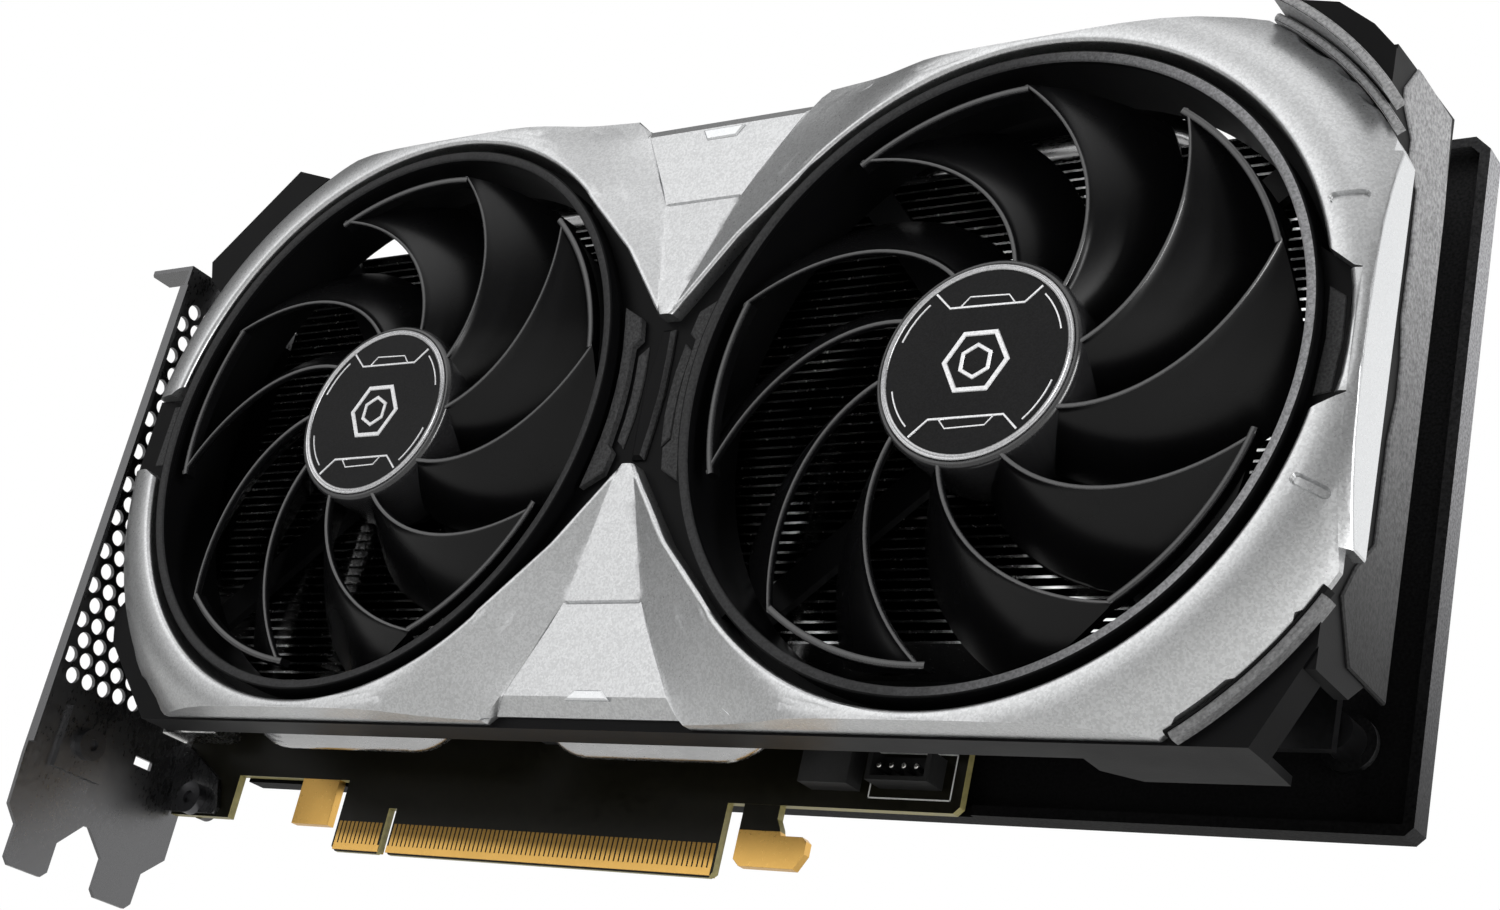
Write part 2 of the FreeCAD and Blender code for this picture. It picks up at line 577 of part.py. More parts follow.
def shroud():
    deck = slab_y(SHROUD_RING, DECK_FRONT, DECK_REAR)
    inner = inset(SHROUD_RING, [WALL] * len(SHROUD_RING))
    wall = slab_y(SHROUD_RING, DECK_REAR, -25.2).cut(slab_y(inner, DECK_REAR - 1, -24))
    end = [(-31.0, 24.0), (-31.0, 116.4), (-8.0, 118.2), (-8.0, 33.0), (-20.0, 24.0)]
    end_wall = slab_x(end, 181.3 - WALL, 181.3)
    corner = slab_y([(165.5, 126.6), (171.8, 125.0), (177.6, 120.2), (181.3, 115.6), (179.5, 115.0),
                     (176.4, 118.9), (171.0, 123.3), (165.9, 124.7)], -25.2, -10.0)
    top = box(-28.0, 46.0, -25.2, -15.0, 122.0 - WALL, 122.0)
    top_far = box(94.0, 163.6, -25.2, -15.0, 122.0 - WALL, 122.0)
    ridges = [ridge("right", 66.9, 68.2, -36.6, 34.0, 56.0), ridge("right", 65.2, 66.3, -33.2, 31.0, 56.0),
              ridge("right", 65.2, 66.3, -33.2, -50.0, -33.0)]
    channel = slab_y(channel_outline(), CHANNEL_FRONT, DECK_FRONT)
    notches = [slab_y(NOTCH_RIGHT, -35.4, DECK_FRONT), slab_y(NOTCH_LEFT, -35.4, DECK_FRONT)]
    left_block = slab_y([(-54.8, 103.0), (-56.4, 107.0), (-38.8, 125.2), (-28.4, 122.0),
                         (-49.6, 98.6)], -33.0, DECK_FRONT)
    left_block = left_block.cut(cyl_y(FAN_XS["left"], FAN_Z, COVER_OUT_R + 0.3, -40, -30))
    tubes = [cyl_y(cx, FAN_Z, TUBE_R, LIP_FRONT, TUBE_REAR) for cx in FAN_XS.values()]
    lugs = arm_lugs("left", 3.0, DECK_REAR, TUBE_REAR) + arm_lugs("right", 3.0, DECK_REAR, TUBE_REAR)
    stems = [box(58.4, 64.8, DECK_REAR, FIN_REAR, 24.0, 36.0),
             box(58.4, 64.8, DECK_REAR, FIN_REAR, 98.0, 108.0)]
    body = fused([deck, wall, end_wall, corner, top, top_far, channel, left_block] + ridges + notches
                 + tubes + lugs + stems)
    cuts = fan_cuts(BORE_R, -40, -20)
    chamfers = [Part.makeCone(BORE_R + 0.9, BORE_R, 0.9, Vector(cx, LIP_FRONT, FAN_Z), Vector(0, 1, 0))
                for cx in FAN_XS.values()]
    screws = arm_lugs("left", 0.96, -30.6, -20) + arm_lugs("right", 0.96, -30.6, -20)
    return body.cut(group(cuts + chamfers + screws))


def rings():
    both = [ring_solid(side, COVER_PROFILE) for side in FAN_XS]
    return both[0].fuse(both[1]).common(box(COVER_LEFT, COVER_SEAM, -40, -30, COVER_BOTTOM, COVER_TOP))


def web(above):
    """The pointed centre web of one cover, from its tip to its foot."""
    sign = 1 if above else -1
    block = slab_x([(y, FAN_Z + sign * h) for h, y in WEB_PROFILE], MIDDLE_X - 30, MIDDLE_X + 30)
    flank = [(MIDDLE_X + TIP_HALF, 13.2)]
    flank += [polar(FAN_XS["right"], 0, r, 180.0 - a) for a, r in WEB_EDGE[::-1]]
    flank += [(MIDDLE_X + 23.0, 51.0), (MIDDLE_X + WEB_FOOT, 54.5)]
    flank += [(MIDDLE_X + WEB_FOOT - 1.6, 53.2)]
    half = flank + [(2 * MIDDLE_X - x, h) for x, h in flank[::-1]]
    return block.common(slab_y([(x, FAN_Z + sign * h) for x, h in half], -40, -30))


def cover(above):
    """One silver cover: half of each ring joined by the pointed centre web."""
    z0, z1 = (FAN_Z, 130.0) if above else (0.0, FAN_Z)
    half = rings().common(box(-60, 190, -40, -30, z0, z1))
    foot = [(MIDDLE_X - 18.6, 53.2), (MIDDLE_X + 18.6, 53.2), (MIDDLE_X + 22.0, 56.5), (MIDDLE_X - 22.0, 56.5)]
    foot = slab_y([(x, FAN_Z + (h if above else -h)) for x, h in foot], -40, -30)
    cuts = fan_cuts(COVER_R, -45, -20)
    cuts += [slab_y(ring, -45, -20) for ring in (NOTCH_RIGHT, NOTCH_LEFT, channel_outline())]
    cuts.append(box(181.3, 186.0, -45, -20, 59.3, 77.6))
    body = fused([half, web(above)]).cut(group(cuts + [foot]))
    return max(body.Solids, key=lambda solid: solid.Volume)


def dimple(x, z, y_floor, degrees):
    bar = fused([box(-2.4, 2.4, -40, y_floor, -0.9, 0.9), cyl_y(-2.4, 0, 0.9, -40, y_floor),
                 cyl_y(2.4, 0, 0.9, -40, y_floor)])
    bar.rotate(Vector(0, 0, 0), Vector(0, 1, 0), degrees)
    bar.translate(Vector(x, 0, z))
    return bar


def upper_cover():
    return cover(True).cut(dimple(177.0, 93.0, -37.2, -8.0))


def lower_cover():
    return cover(False).cut(dimple(177.0, 43.6, -37.2, 24.0))


def side_trim():
    """Bright strip on the free end: the flat side wall that both covers share."""
    profile = [(r, -28.6 if y == DECK_FRONT else y) for r, y in COVER_PROFILE]
    whole = ring_solid("right", profile).common(box(COVER_SEAM, SIDE_X, -40, -28, 40.4, 98.6))
    return whole.cut(slab_x([(-28, 40.0), (-28, 47.0), (-32.4, 40.0)], 180, 190))


def side_bar():
    """Short silver bar that closes the notch between the covers."""
    hollow = [(181.9, 59.4), (182.5, 62.0), (182.8, 66.0), (182.8, 70.5), (182.5, 74.5), (181.9, 77.4)]
    post = slab_y(hollow + [(COVER_SEAM, 76.6), (COVER_SEAM, 60.2)], -40, -30)
    return ring_solid("right", COVER_PROFILE).common(post)


# ---- fans --------------------------------------------------------------------------------------------------

def motor_mount(side):
    cx = FAN_XS[side]
    parts = [cyl_y(cx, FAN_Z, 15.5, TUBE_REAR, MOUNT_REAR)]
    parts.append(cyl_y(cx, FAN_Z, 4.0, -34.0, TUBE_REAR))
    for a in ARM_ANGLES:
        arm = box(12.0, ARM_LUG_R, TUBE_REAR, MOUNT_REAR, -2.6, 2.6)
        arm.rotate(Vector(0, 0, 0), Vector(0, 1, 0), -a)
        arm.translate(Vector(cx, 0, FAN_Z))
        parts.append(arm)
    parts += arm_lugs(side, 3.0, TUBE_REAR, MOUNT_REAR)
    body = fused(parts)
    bores = [cyl_y(cx, FAN_Z, 2.55, -35.0, TUBE_REAR)] + arm_lugs(side, 1.2, -26, -22)
    return body.cut(group(bores))


def motor_bearing(side):
    return tube_y(FAN_XS[side], FAN_Z, 2.5, 1.55, -34.0, TUBE_REAR)


def motor_stator(side):
    cx = FAN_XS[side]
    core = cyl_y(cx, FAN_Z, 6.2, -32.0, -27.0)
    poles = []
    for i in range(4):
        pole = fused([box(5.0, 10.6, -32.0, -27.0, -1.8, 1.8), box(9.4, 10.6, -32.0, -27.0, -5.2, 5.2)])
        pole.rotate(Vector(0, 0, 0), Vector(0, 1, 0), 90.0 * i)
        pole.translate(Vector(cx, 0, FAN_Z))
        poles.append(pole)
    board = cyl_y(cx, FAN_Z, 9.0, -25.6, TUBE_REAR)
    post = [box(cx + 4.4, cx + 5.6, -27.0, -25.6, FAN_Z - 1, FAN_Z + 1),
            box(cx - 5.6, cx - 4.4, -27.0, -25.6, FAN_Z - 1, FAN_Z + 1)]
    body = fused([core] + poles + [board] + post)
    return body.cut(cyl_y(cx, FAN_Z, 4.06, -34.0, -20.0))


def magnet_ring(side):
    return tube_y(FAN_XS[side], FAN_Z, 15.2, 12.6, -34.0, -26.4)


def shaft(side):
    return cyl_y(FAN_XS[side], FAN_Z, 1.5, -36.2, -25.0)


def blade_section(cx, r, tip_deg, thick):
    """Closed profile on the flat plane that faces the axis at mid-chord."""
    lead = tip_deg - SWEEP_PER_MM * (TIP_R - r)
    middle = math.radians(lead - CHORD_DEG / 2)
    reach = r * math.tan(math.radians(CHORD_DEG / 2))
    ring = []
    for side in (1, -1):
        steps = range(5) if side > 0 else range(4, -1, -1)
        for k in steps:
            t = k / 4.0
            depth = BLADE_FRONT + (BLADE_REAR - BLADE_FRONT) * t + 2.4 * t * (1 - t)
            along = reach * (1 - 2 * t) + side * thick / 2
            x = cx + r * math.cos(middle) - along * math.sin(middle)
            z = FAN_Z + r * math.sin(middle) + along * math.cos(middle)
            ring.append(Vector(x, depth, z))
    return Part.makePolygon(ring + ring[:1])


def blade(cx, tip_deg):
    radii = (HUB_R - 1.0, 22.0, 28.0, 34.0, 40.0, TIP_R + 0.6)
    raw = Part.makeLoft([blade_section(cx, r, tip_deg, 1.3) for r in radii], True, True)
    return raw.common(cyl_y(cx, FAN_Z, TIP_R, -40, -20))


def link_arc(cx, tip_deg):
    ring = tube_y(cx, FAN_Z, TIP_R, TIP_R - 1.4, -37.2, -35.0)
    spans = [polar(cx, FAN_Z, 70.0, tip_deg - 36.0 * k / 4.0) for k in range(5)]
    wedge = slab_y([(cx, FAN_Z)] + spans, -38, -34)
    return ring.common(wedge)


def rotor(side):
    cx = FAN_XS[side]
    cup = cyl_y(cx, FAN_Z, HUB_R, -37.2, -25.6)
    cup = cup.makeFillet(0.9, [e for e in cup.Edges if abs(e.BoundBox.YMax + 37.2) < 1e-6])
    parts = [cup]
    for k in range(BLADE_PAIRS):
        tip = TIP_ANGLES[side] + 72.0 * k
        parts += [blade(cx, tip), blade(cx, tip - 36.0), link_arc(cx, tip)]
    body = parts[0].multiFuse(parts[1:])
    bore = cyl_y(cx, FAN_Z, 15.25, -34.6, -20.0)
    seat = cyl_y(cx, FAN_Z, 1.52, -36.3, -30.0)
    face = cyl_y(cx, FAN_Z, 15.7, -38.0, -36.9)
    return body.cut(group([bore, seat, face]))


def hub_badge(side):
    cx = FAN_XS[side]
    disc = cyl_y(cx, FAN_Z, 15.65, -37.3, -36.9)
    ring = tube_y(cx, FAN_Z, 15.5, 14.9, -37.6, -37.3)
    return fused([disc, ring])


def fan_screws():
    screws = []
    for side in FAN_XS:
        for a in ARM_ANGLES:
            x, z = polar(FAN_XS[side], FAN_Z, ARM_LUG_R, a)
            head = cyl_y(x, z, 2.0, MOUNT_REAR, -22.2)
            screws.append(fused([head, cyl_y(x, z, 0.9, -30.4, MOUNT_REAR)]))
    return group(screws)


NODES = {
    "pcb": pcb,
    "edge_contacts": edge_contacts,
    "plated_tabs": plated_tabs,
    "gpu_package": gpu_package,
    "gpu_die": gpu_die,
    "memory_chips": memory_chips,
    "chokes": chokes,
    "power_stages": power_stages,
    "capacitors": capacitors,
    "thermal_pads": thermal_pads,
    "power_connector": power_connector,
    "power_pins": power_pins,
    "fan_header": fan_header,
    "fan_lead": fan_lead,
    "io_bracket": io_bracket,
    "bracket_screws": bracket_screws,
    "displayport_sockets": displayport_sockets,
    "hdmi_socket": hdmi_socket,
    "heat_pipes": heat_pipes,
    "fin_stack_main": lambda: fin_stack("main"),
    "fin_stack_far": lambda: fin_stack("far"),
    "cold_plate": cold_plate,
    "base_plate": base_plate,
    "retention_bracket": retention_bracket,
    "retention_screws": retention_screws,
    "backplate": backplate,
    "backplate_screws": backplate_screws,
    "shroud": shroud,
    "upper_cover": upper_cover,
    "lower_cover": lower_cover,
    "side_trim": side_trim,
    "side_bar": side_bar,
    "fan_screws": fan_screws,
}
for SIDE in FAN_XS:
    NODES["motor_mount_" + SIDE] = lambda side=SIDE: motor_mount(side)
    NODES["motor_bearing_" + SIDE] = lambda side=SIDE: motor_bearing(side)
    NODES["motor_stator_" + SIDE] = lambda side=SIDE: motor_stator(side)
    NODES["magnet_ring_" + SIDE] = lambda side=SIDE: magnet_ring(side)
    NODES["shaft_" + SIDE] = lambda side=SIDE: shaft(side)
    NODES["rotor_" + SIDE] = lambda side=SIDE: rotor(side)
    NODES["hub_badge_" + SIDE] = lambda side=SIDE: hub_badge(side)

os.makedirs("parts", exist_ok=True)
for NAME, MAKE in NODES.items():
    SHAPE = MAKE()
    SHAPE.exportStep("parts/" + NAME + ".step")
    BOUNDS = SHAPE.BoundBox
    print("%-22s solids %3d valid %s  x %.1f..%.1f y %.1f..%.1f z %.1f..%.1f" % (
        NAME, len(SHAPE.Solids), SHAPE.isValid(), BOUNDS.XMin, BOUNDS.XMax, BOUNDS.YMin,
        BOUNDS.YMax, BOUNDS.ZMin, BOUNDS.ZMax))
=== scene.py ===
import math

import bmesh
import bpy
from mathutils import Matrix, Vector
from mathutils.geometry import delaunay_2d_cdt


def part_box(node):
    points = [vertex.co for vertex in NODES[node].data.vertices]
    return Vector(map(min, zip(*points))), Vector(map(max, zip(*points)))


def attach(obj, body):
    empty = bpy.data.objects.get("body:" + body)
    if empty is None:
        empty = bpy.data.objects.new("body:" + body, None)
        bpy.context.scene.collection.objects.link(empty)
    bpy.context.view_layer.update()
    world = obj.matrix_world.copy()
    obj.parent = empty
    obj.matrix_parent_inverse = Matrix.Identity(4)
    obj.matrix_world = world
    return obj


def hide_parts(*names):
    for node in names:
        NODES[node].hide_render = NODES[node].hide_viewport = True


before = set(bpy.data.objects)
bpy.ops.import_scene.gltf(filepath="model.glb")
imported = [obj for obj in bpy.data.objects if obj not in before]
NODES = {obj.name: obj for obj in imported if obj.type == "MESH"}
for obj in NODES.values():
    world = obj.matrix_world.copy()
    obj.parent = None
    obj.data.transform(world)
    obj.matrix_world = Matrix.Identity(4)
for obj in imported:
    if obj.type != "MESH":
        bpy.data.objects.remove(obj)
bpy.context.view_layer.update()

SCENE = bpy.context.scene
MM = 0.001

# ---- dimensions, in millimetres ------------------------------------------------------------------------


def middle_of(node):
    """Middle of a CAD node's box."""
    low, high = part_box(node)
    return [(a + b) / 2 / MM for a, b in zip(low, high)]


# fan axes as (x, z), and the place half-way between them
FANS = {}
for SIDE in ("left", "right"):
    BADGE_MIDDLE = middle_of("hub_badge_" + SIDE)
    FANS[SIDE] = (BADGE_MIDDLE[0], BADGE_MIDDLE[2])
FAN_Z = FANS["left"][1]
MIDDLE_X = (FANS["left"][0] + FANS["right"][0]) / 2
HALF_SPAN = (FANS["right"][0] - FANS["left"][0]) / 2

# silver covers: inner and outer radius, ends, and the seam with the flat side wall
COVER_R = 53.0
COVER_OUT_R = 64.9
COVER_LOW = 13.8
COVER_HIGH = 122.8
COVER_LEFT = -53.0
COVER_SEAM = 183.4
COVER_BACK = -31.4
EDGE_ROLL = 0.9
SIDE_X = 185.0
STRIP_LOW = 39.3
STRIP_HIGH = 100.0
STRIP_BACK = -28.6
FOLD = 0.35

# ring section as (radius, y)
RING_PROFILE = [(54.3, -38.2), (56.2, -38.0), (58.2, -37.5), (60.2, -36.5), (63.0, -34.4), (64.9, -32.6)]

# web between the fans, by height above or below the fan axis: half-width at the ridges of the centre
# facet, its y, the recess at its far end, the outer flank and the y of the flank's crest
WEB_START = 13.2
RIDGE = [(WEB_START, 1.4), (35.5, 7.7), (50.5, 16.6), (53.2, 18.5), (54.5, 20.2)]
WEB_DEPTH = [(WEB_START, -37.6), (35.5, -35.1), (50.5, -34.1), (54.5, -33.6)]
RECESS = [(50.5, 16.0, -34.1), (53.2, 18.3, -31.8)]
FLANK = [(WEB_START, 1.4), (26.4, 11.5), (38.35, 23.85)]
CREST_DEPTH = [(WEB_START, -37.7), (26.4, -38.0), (38.35, -38.2), (54.6, -38.2)]

# fine groove across the centre facet as (x from the middle, height)
GROOVE = [(-16.6, 50.5), (-7.7, 35.5), (7.7, 35.5), (16.6, 50.5)]
GROOVE_HALF = 0.3
GROOVE_DEPTH = 0.45

# notches in the covers as (x, z)
NOTCH_RIGHT = [(170.0, 87.3), (182.3, 77.6), (183.5, 77.4), (183.5, 59.2), (182.3, 58.6), (170.0, 52.3)]
NOTCH_LEFT = [(-40.0, 80.0), (-48.5, 75.0), (-54.0, 75.0), (-54.0, 60.2), (-48.5, 59.6), (-40.0, 55.0)]

# dimples as (x, z, slope in degrees)
DIMPLES = [(180.1, 88.4, -8.0), (180.1, 46.3, 24.0)]
DIMPLE_HALF = 1.9
DIMPLE_DEPTH = 0.7

# rotors: angle of the first blade's tip, radii of root and tip, width in degrees, sweep in degrees per mm
FIRST_TIP = {"left": 47.5, "right": 55.0}
ROOT_R = 16.2
TIP_R = 46.8
CHORD = 25.0
SWEEP = 1.58

# ---- small helpers -----------------------------------------------------------------------------------


def polar(cx, cz, r, degrees):
    """Place (x, z) at a radius and angle about a middle."""
    a = math.radians(degrees)
    return cx + r * math.cos(a), cz + r * math.sin(a)


def turned(cx, cz, profile, degrees):
    """A section of (radius, y) points turned to an angle about an axis along y."""
    section = []
    for r, y in profile:
        x, z = polar(cx, cz, r, degrees)
        section.append((x, y, z))
    return section


def along(table, value):
    """Linear reading of a table of (key, value) pairs, held at both ends."""
    if value <= table[0][0]:
        return table[0][1]
    for (k0, v0), (k1, v1) in zip(table, table[1:]):
        if value <= k1:
            return v0 + (v1 - v0) * (value - k0) / (k1 - k0)
    return table[-1][1]


def inside(point, ring):
    """Whether a point lies in a closed outline."""
    x, z = point
    odd = False
    for (x0, z0), (x1, z1) in zip(ring, ring[1:] + ring[:1]):
        if (z0 > z) != (z1 > z) and x < x0 + (x1 - x0) * (z - z0) / (z1 - z0):
            odd = not odd
    return odd


def line_distance(point, a, b):
    """Distance from a point to the stretch from a to b."""
    px, pz = point[0] - a[0], point[1] - a[1]
    dx, dz = b[0] - a[0], b[1] - a[1]
    t = max(0.0, min(1.0, (px * dx + pz * dz) / (dx * dx + dz * dz)))
    return math.hypot(px - dx * t, pz - dz * t)


def arc(cx, cz, r, a0, a1, step=2.0):
    """Points of an arc, about one for every step degrees."""
    count = max(2, round(abs(a1 - a0) / step))
    return [polar(cx, cz, r, a0 + (a1 - a0) * k / count) for k in range(count + 1)]


# ---- materials ---------------------------------------------------------------------------------------


class Finish:
    """A principled material whose colour, roughness and relief vary in the object's own space."""

    def __init__(self, name, colour, roughness, metallic=0.0, specular=0.5):
        self.material = bpy.data.materials.new(name)
        self.material.use_nodes = True
        self.tree = self.material.node_tree
        self.shader = self.tree.nodes["Principled BSDF"]
        self.shader.inputs["Metallic"].default_value = metallic
        self.shader.inputs["Specular IOR Level"].default_value = specular
        self.colour = colour
        self.rough = roughness
        self.where = self.tree.nodes.new("ShaderNodeTexCoord").outputs["Object"]
        self.tone = None
        self.polish = None
        self.relief = None

    def node(self, kind, **values):
        node = self.tree.nodes.new(kind)
        for key, value in values.items():
            if hasattr(node, key):
                setattr(node, key, value)
            else:
                node.inputs[key.replace("_", " ")].default_value = value
        return node

    def link(self, source, target):
        self.tree.links.new(source, target)

    def noise(self, size, detail=3.0):
        """Fractal noise from 0 to 1 with features of this size in millimetres."""
        node = self.node("ShaderNodeTexNoise", Scale=1.0 / (size * MM), Detail=detail, Roughness=0.55)
        self.link(self.where, node.inputs["Vector"])
        return node.outputs["Fac"]

    def cells(self, size):
        """A plain tone for each flake, flakes of this size in millimetres."""
        node = self.node("ShaderNodeTexVoronoi", Scale=1.0 / (size * MM))
        self.link(self.where, node.inputs["Vector"])
        return node.outputs["Color"]

    def facing(self, axis):
        """Part of the surface normal along an axis of the object."""
        split = self.node("ShaderNodeSeparateXYZ")
        self.link(self.node("ShaderNodeTexCoord").outputs["Normal"], split.inputs["Vector"])
        return split.outputs[axis]

    def math(self, kind, a, b=None, clamp=False):
        node = self.node("ShaderNodeMath", operation=kind, use_clamp=clamp)
        for socket, value in zip(node.inputs, (a, b)):
            if isinstance(value, (int, float)):
                socket.default_value = value
            elif value is not None:
                self.link(value, socket)
        return node.outputs["Value"]

    def spread(self, source, low, high, src=(0.3, 0.7)):
        """Maps the range src of a value to the range from low to high."""
        node = self.node("ShaderNodeMapRange")
        for key, value in zip(("From Min", "From Max", "To Min", "To Max"), src + (low, high)):
            node.inputs[key].default_value = value
        self.link(source, node.inputs["Value"])
        return node.outputs["Result"]

    def shade(self, factor):
        """Multiplies the brightness by a factor."""
        self.tone = factor if self.tone is None else self.math("MULTIPLY", self.tone, factor)
        return self

    def vary(self, source, amount):
        """Brightness varies by plus or minus amount with a 0 to 1 pattern."""
        return self.shade(self.spread(source, 1.0 - amount, 1.0 + amount))

    def fade_along(self, axis, start, end, low, high):
        """Brightness factor that runs from low to high between two places on an axis, in metres."""
        split = self.node("ShaderNodeSeparateXYZ")
        self.link(self.where, split.inputs["Vector"])
        fade = self.node("ShaderNodeMapRange")
        fade.interpolation_type = "SMOOTHSTEP"
        for key, value in (("From Min", start), ("From Max", end), ("To Min", low), ("To Max", high)):
            fade.inputs[key].default_value = value
        self.link(split.outputs[axis], fade.inputs["Value"])
        return self.shade(fade.outputs["Result"])

    def polish_by(self, source, amount):
        """Roughness varies by plus or minus amount with a 0 to 1 pattern."""
        factor = self.spread(source, -amount, amount)
        self.polish = factor if self.polish is None else self.math("ADD", self.polish, factor)
        return self

    def raise_by(self, source, height):
        """Relief of this height in millimetres from a 0 to 1 pattern."""
        lifted = self.math("MULTIPLY", source, height)
        self.relief = lifted if self.relief is None else self.math("ADD", self.relief, lifted)
        return self

    def done(self):
        base = self.shader.inputs["Base Color"]
        base.default_value = (*self.colour, 1.0)
        if self.tone is not None:
            mix = self.node("ShaderNodeVectorMath", operation="SCALE")
            mix.inputs[0].default_value = self.colour
            self.link(self.tone, mix.inputs["Scale"])
            self.link(mix.outputs["Vector"], base)
        self.shader.inputs["Roughness"].default_value = self.rough
        if self.polish is not None:
            self.link(self.math("ADD", self.polish, self.rough, clamp=True), self.shader.inputs["Roughness"])
        if self.relief is not None:
            bump = self.node("ShaderNodeBump", Distance=MM, Strength=1.0)
            self.link(self.relief, bump.inputs["Height"])
            self.link(bump.outputs["Normal"], self.shader.inputs["Normal"])
        return self.material


def moulded(name, colour, roughness, grain, height, spread=0.12, specular=0.5):
    """Moulded plastic with a fine spark-eroded grain."""
    finish = Finish(name, colour, roughness, specular=specular)
    texture = finish.noise(grain, 2.0)
    broad = finish.noise(18.0)
    finish.vary(texture, spread).vary(broad, 0.08)
    finish.polish_by(broad, 0.04).raise_by(texture, height)
    return finish


SILVER = Finish("silver_flake_paint", (0.55, 0.555, 0.56), 0.31, metallic=0.95)
SILVER.vary(SILVER.cells(0.30), 0.09).vary(SILVER.noise(25.0), 0.02)
SILVER.polish_by(SILVER.noise(0.35, 2.0), 0.04).raise_by(SILVER.noise(0.4, 2.0), 0.002)
SILVER = SILVER.done()

TRIM = Finish("side_strip_paint", (0.72, 0.73, 0.74), 0.30, metallic=0.85)
TRIM.vary(TRIM.cells(0.22), 0.03).polish_by(TRIM.noise(0.35), 0.04).raise_by(TRIM.noise(0.3, 2.0), 0.001)
TRIM = TRIM.done()

SHROUD_BLACK = moulded("shroud_grained_black", (0.003, 0.003, 0.0033), 0.42, 0.35, 0.01, specular=0.07).done()
# painted light: the lip's crest is black plastic given a lighter grey, and it brightens up to ninefold
# towards the right fan's right side, where the right lamp falls
LIP_GREY_PAINTED_LIGHT = moulded("lip_grained_painted_light", (0.030, 0.030, 0.031), 0.50, 0.40, 0.03, 0.35, 0.15)
LIP_GREY_PAINTED_LIGHT.fade_along("X", 0.118, 0.172, 1.0, 9.0)
LIP_GREY_PAINTED_LIGHT = LIP_GREY_PAINTED_LIGHT.done()
INSET_GREY = moulded("inset_grained_grey", (0.040, 0.040, 0.041), 0.50, 0.40, 0.05, 0.5, 0.16).done()
# painted light: the end face's grey is partly painted light on the shroud's black plastic, and a painted fade
# runs its brightness from 0.06 to 2 times towards the top
EDGE_GREY_PAINTED_LIGHT = moulded("end_face_grained_grey_painted_light", (0.165, 0.165, 0.168), 0.46, 0.55, 0.06, 0.4, 0.12)
EDGE_GREY_PAINTED_LIGHT.fade_along("Z", 0.020, 0.120, 0.06, 2.0)
EDGE_GREY_PAINTED_LIGHT = EDGE_GREY_PAINTED_LIGHT.done()
# painted light: the corner ridges are the shroud's black plastic painted as lit grey, the low ridge as a
# dimmer copy in painted shade
RIDGE_PAINTED_LIGHT = moulded("ridge_grained_painted_light", (0.30, 0.30, 0.305), 0.44, 0.45, 0.05, 0.35, 0.4).done()
LOW_RIDGE_PAINTED_LIGHT = moulded("low_ridge_grained_painted_light", (0.15, 0.15, 0.152), 0.46, 0.45, 0.05, 0.35, 0.3).done()
BLADE = moulded("blade_satin_black", (0.003, 0.003, 0.0033), 0.26, 0.5, 0.002, 0.2, 0.24).done()
RIM = moulded("blade_rim_satin_black", (0.020, 0.020, 0.021), 0.22, 0.35, 0.003, 0.3, 0.75).done()
MOUNT_BLACK = moulded("motor_mount_black", (0.006, 0.006, 0.0065), 0.40, 0.4, 0.01, specular=0.15).done()
SOCKET_BLACK = moulded("socket_black", (0.014, 0.014, 0.015), 0.42, 0.4, 0.01).done()
HEADER = moulded("header_nylon_black", (0.012, 0.012, 0.012), 0.42, 0.5, 0.01, specular=0.3).done()

BADGE = moulded("badge_grained_black", (0.006, 0.006, 0.0065), 0.42, 0.30, 0.03, 0.5, 0.12).done()
BADGE_LINE = Finish("badge_bright_line", (0.62, 0.62, 0.63), 0.30, metallic=0.9)
BADGE_LINE.vary(BADGE_LINE.cells(0.2), 0.10).polish_by(BADGE_LINE.noise(0.5), 0.08)
BADGE_LINE = BADGE_LINE.done()


def metal(name, colour, roughness, streak=(1.0, 1.0, 1.0), size=0.4, spread=0.08, height=0.001):
    """Bare or plated metal with faint rolling marks stretched along one axis."""
    finish = Finish(name, colour, roughness, metallic=1.0)
    mapping = finish.node("ShaderNodeMapping")
    mapping.inputs["Scale"].default_value = streak
    finish.link(finish.where, mapping.inputs["Vector"])
    plain = finish.where
    finish.where = mapping.outputs["Vector"]
    marks = finish.noise(size, 4.0)
    finish.where = plain
    smudge = finish.noise(14.0, 4.0)
    finish.vary(marks, spread).vary(smudge, 0.06)
    finish.polish_by(marks, 0.06).polish_by(smudge, 0.06).raise_by(marks, height)
    return finish


def fin_metal_painted_shade():
    """Bright aluminium on the cut edges that face the fans; the faces of the fins are painted dark as painted
    shade between the fins.
    """
    finish = Finish("fin_aluminium", (0.74, 0.745, 0.75), 0.23, metallic=1.0)
    # painted shade: the faces of the fins are darkened to 3 percent of the edges' brightness
    finish.shade(finish.spread(finish.math("ABSOLUTE", finish.facing("Y")), 0.03, 1.0, (0.4, 0.6)))
    marks = finish.noise(0.8, 3.0)
    return finish.vary(marks, 0.06).polish_by(marks, 0.05).done()


FIN = fin_metal_painted_shade()
NICKEL = metal("heat_pipe_nickel", (0.52, 0.52, 0.525), 0.24, (0.2, 1.0, 1.0), 0.4, 0.06, 0.0006).done()
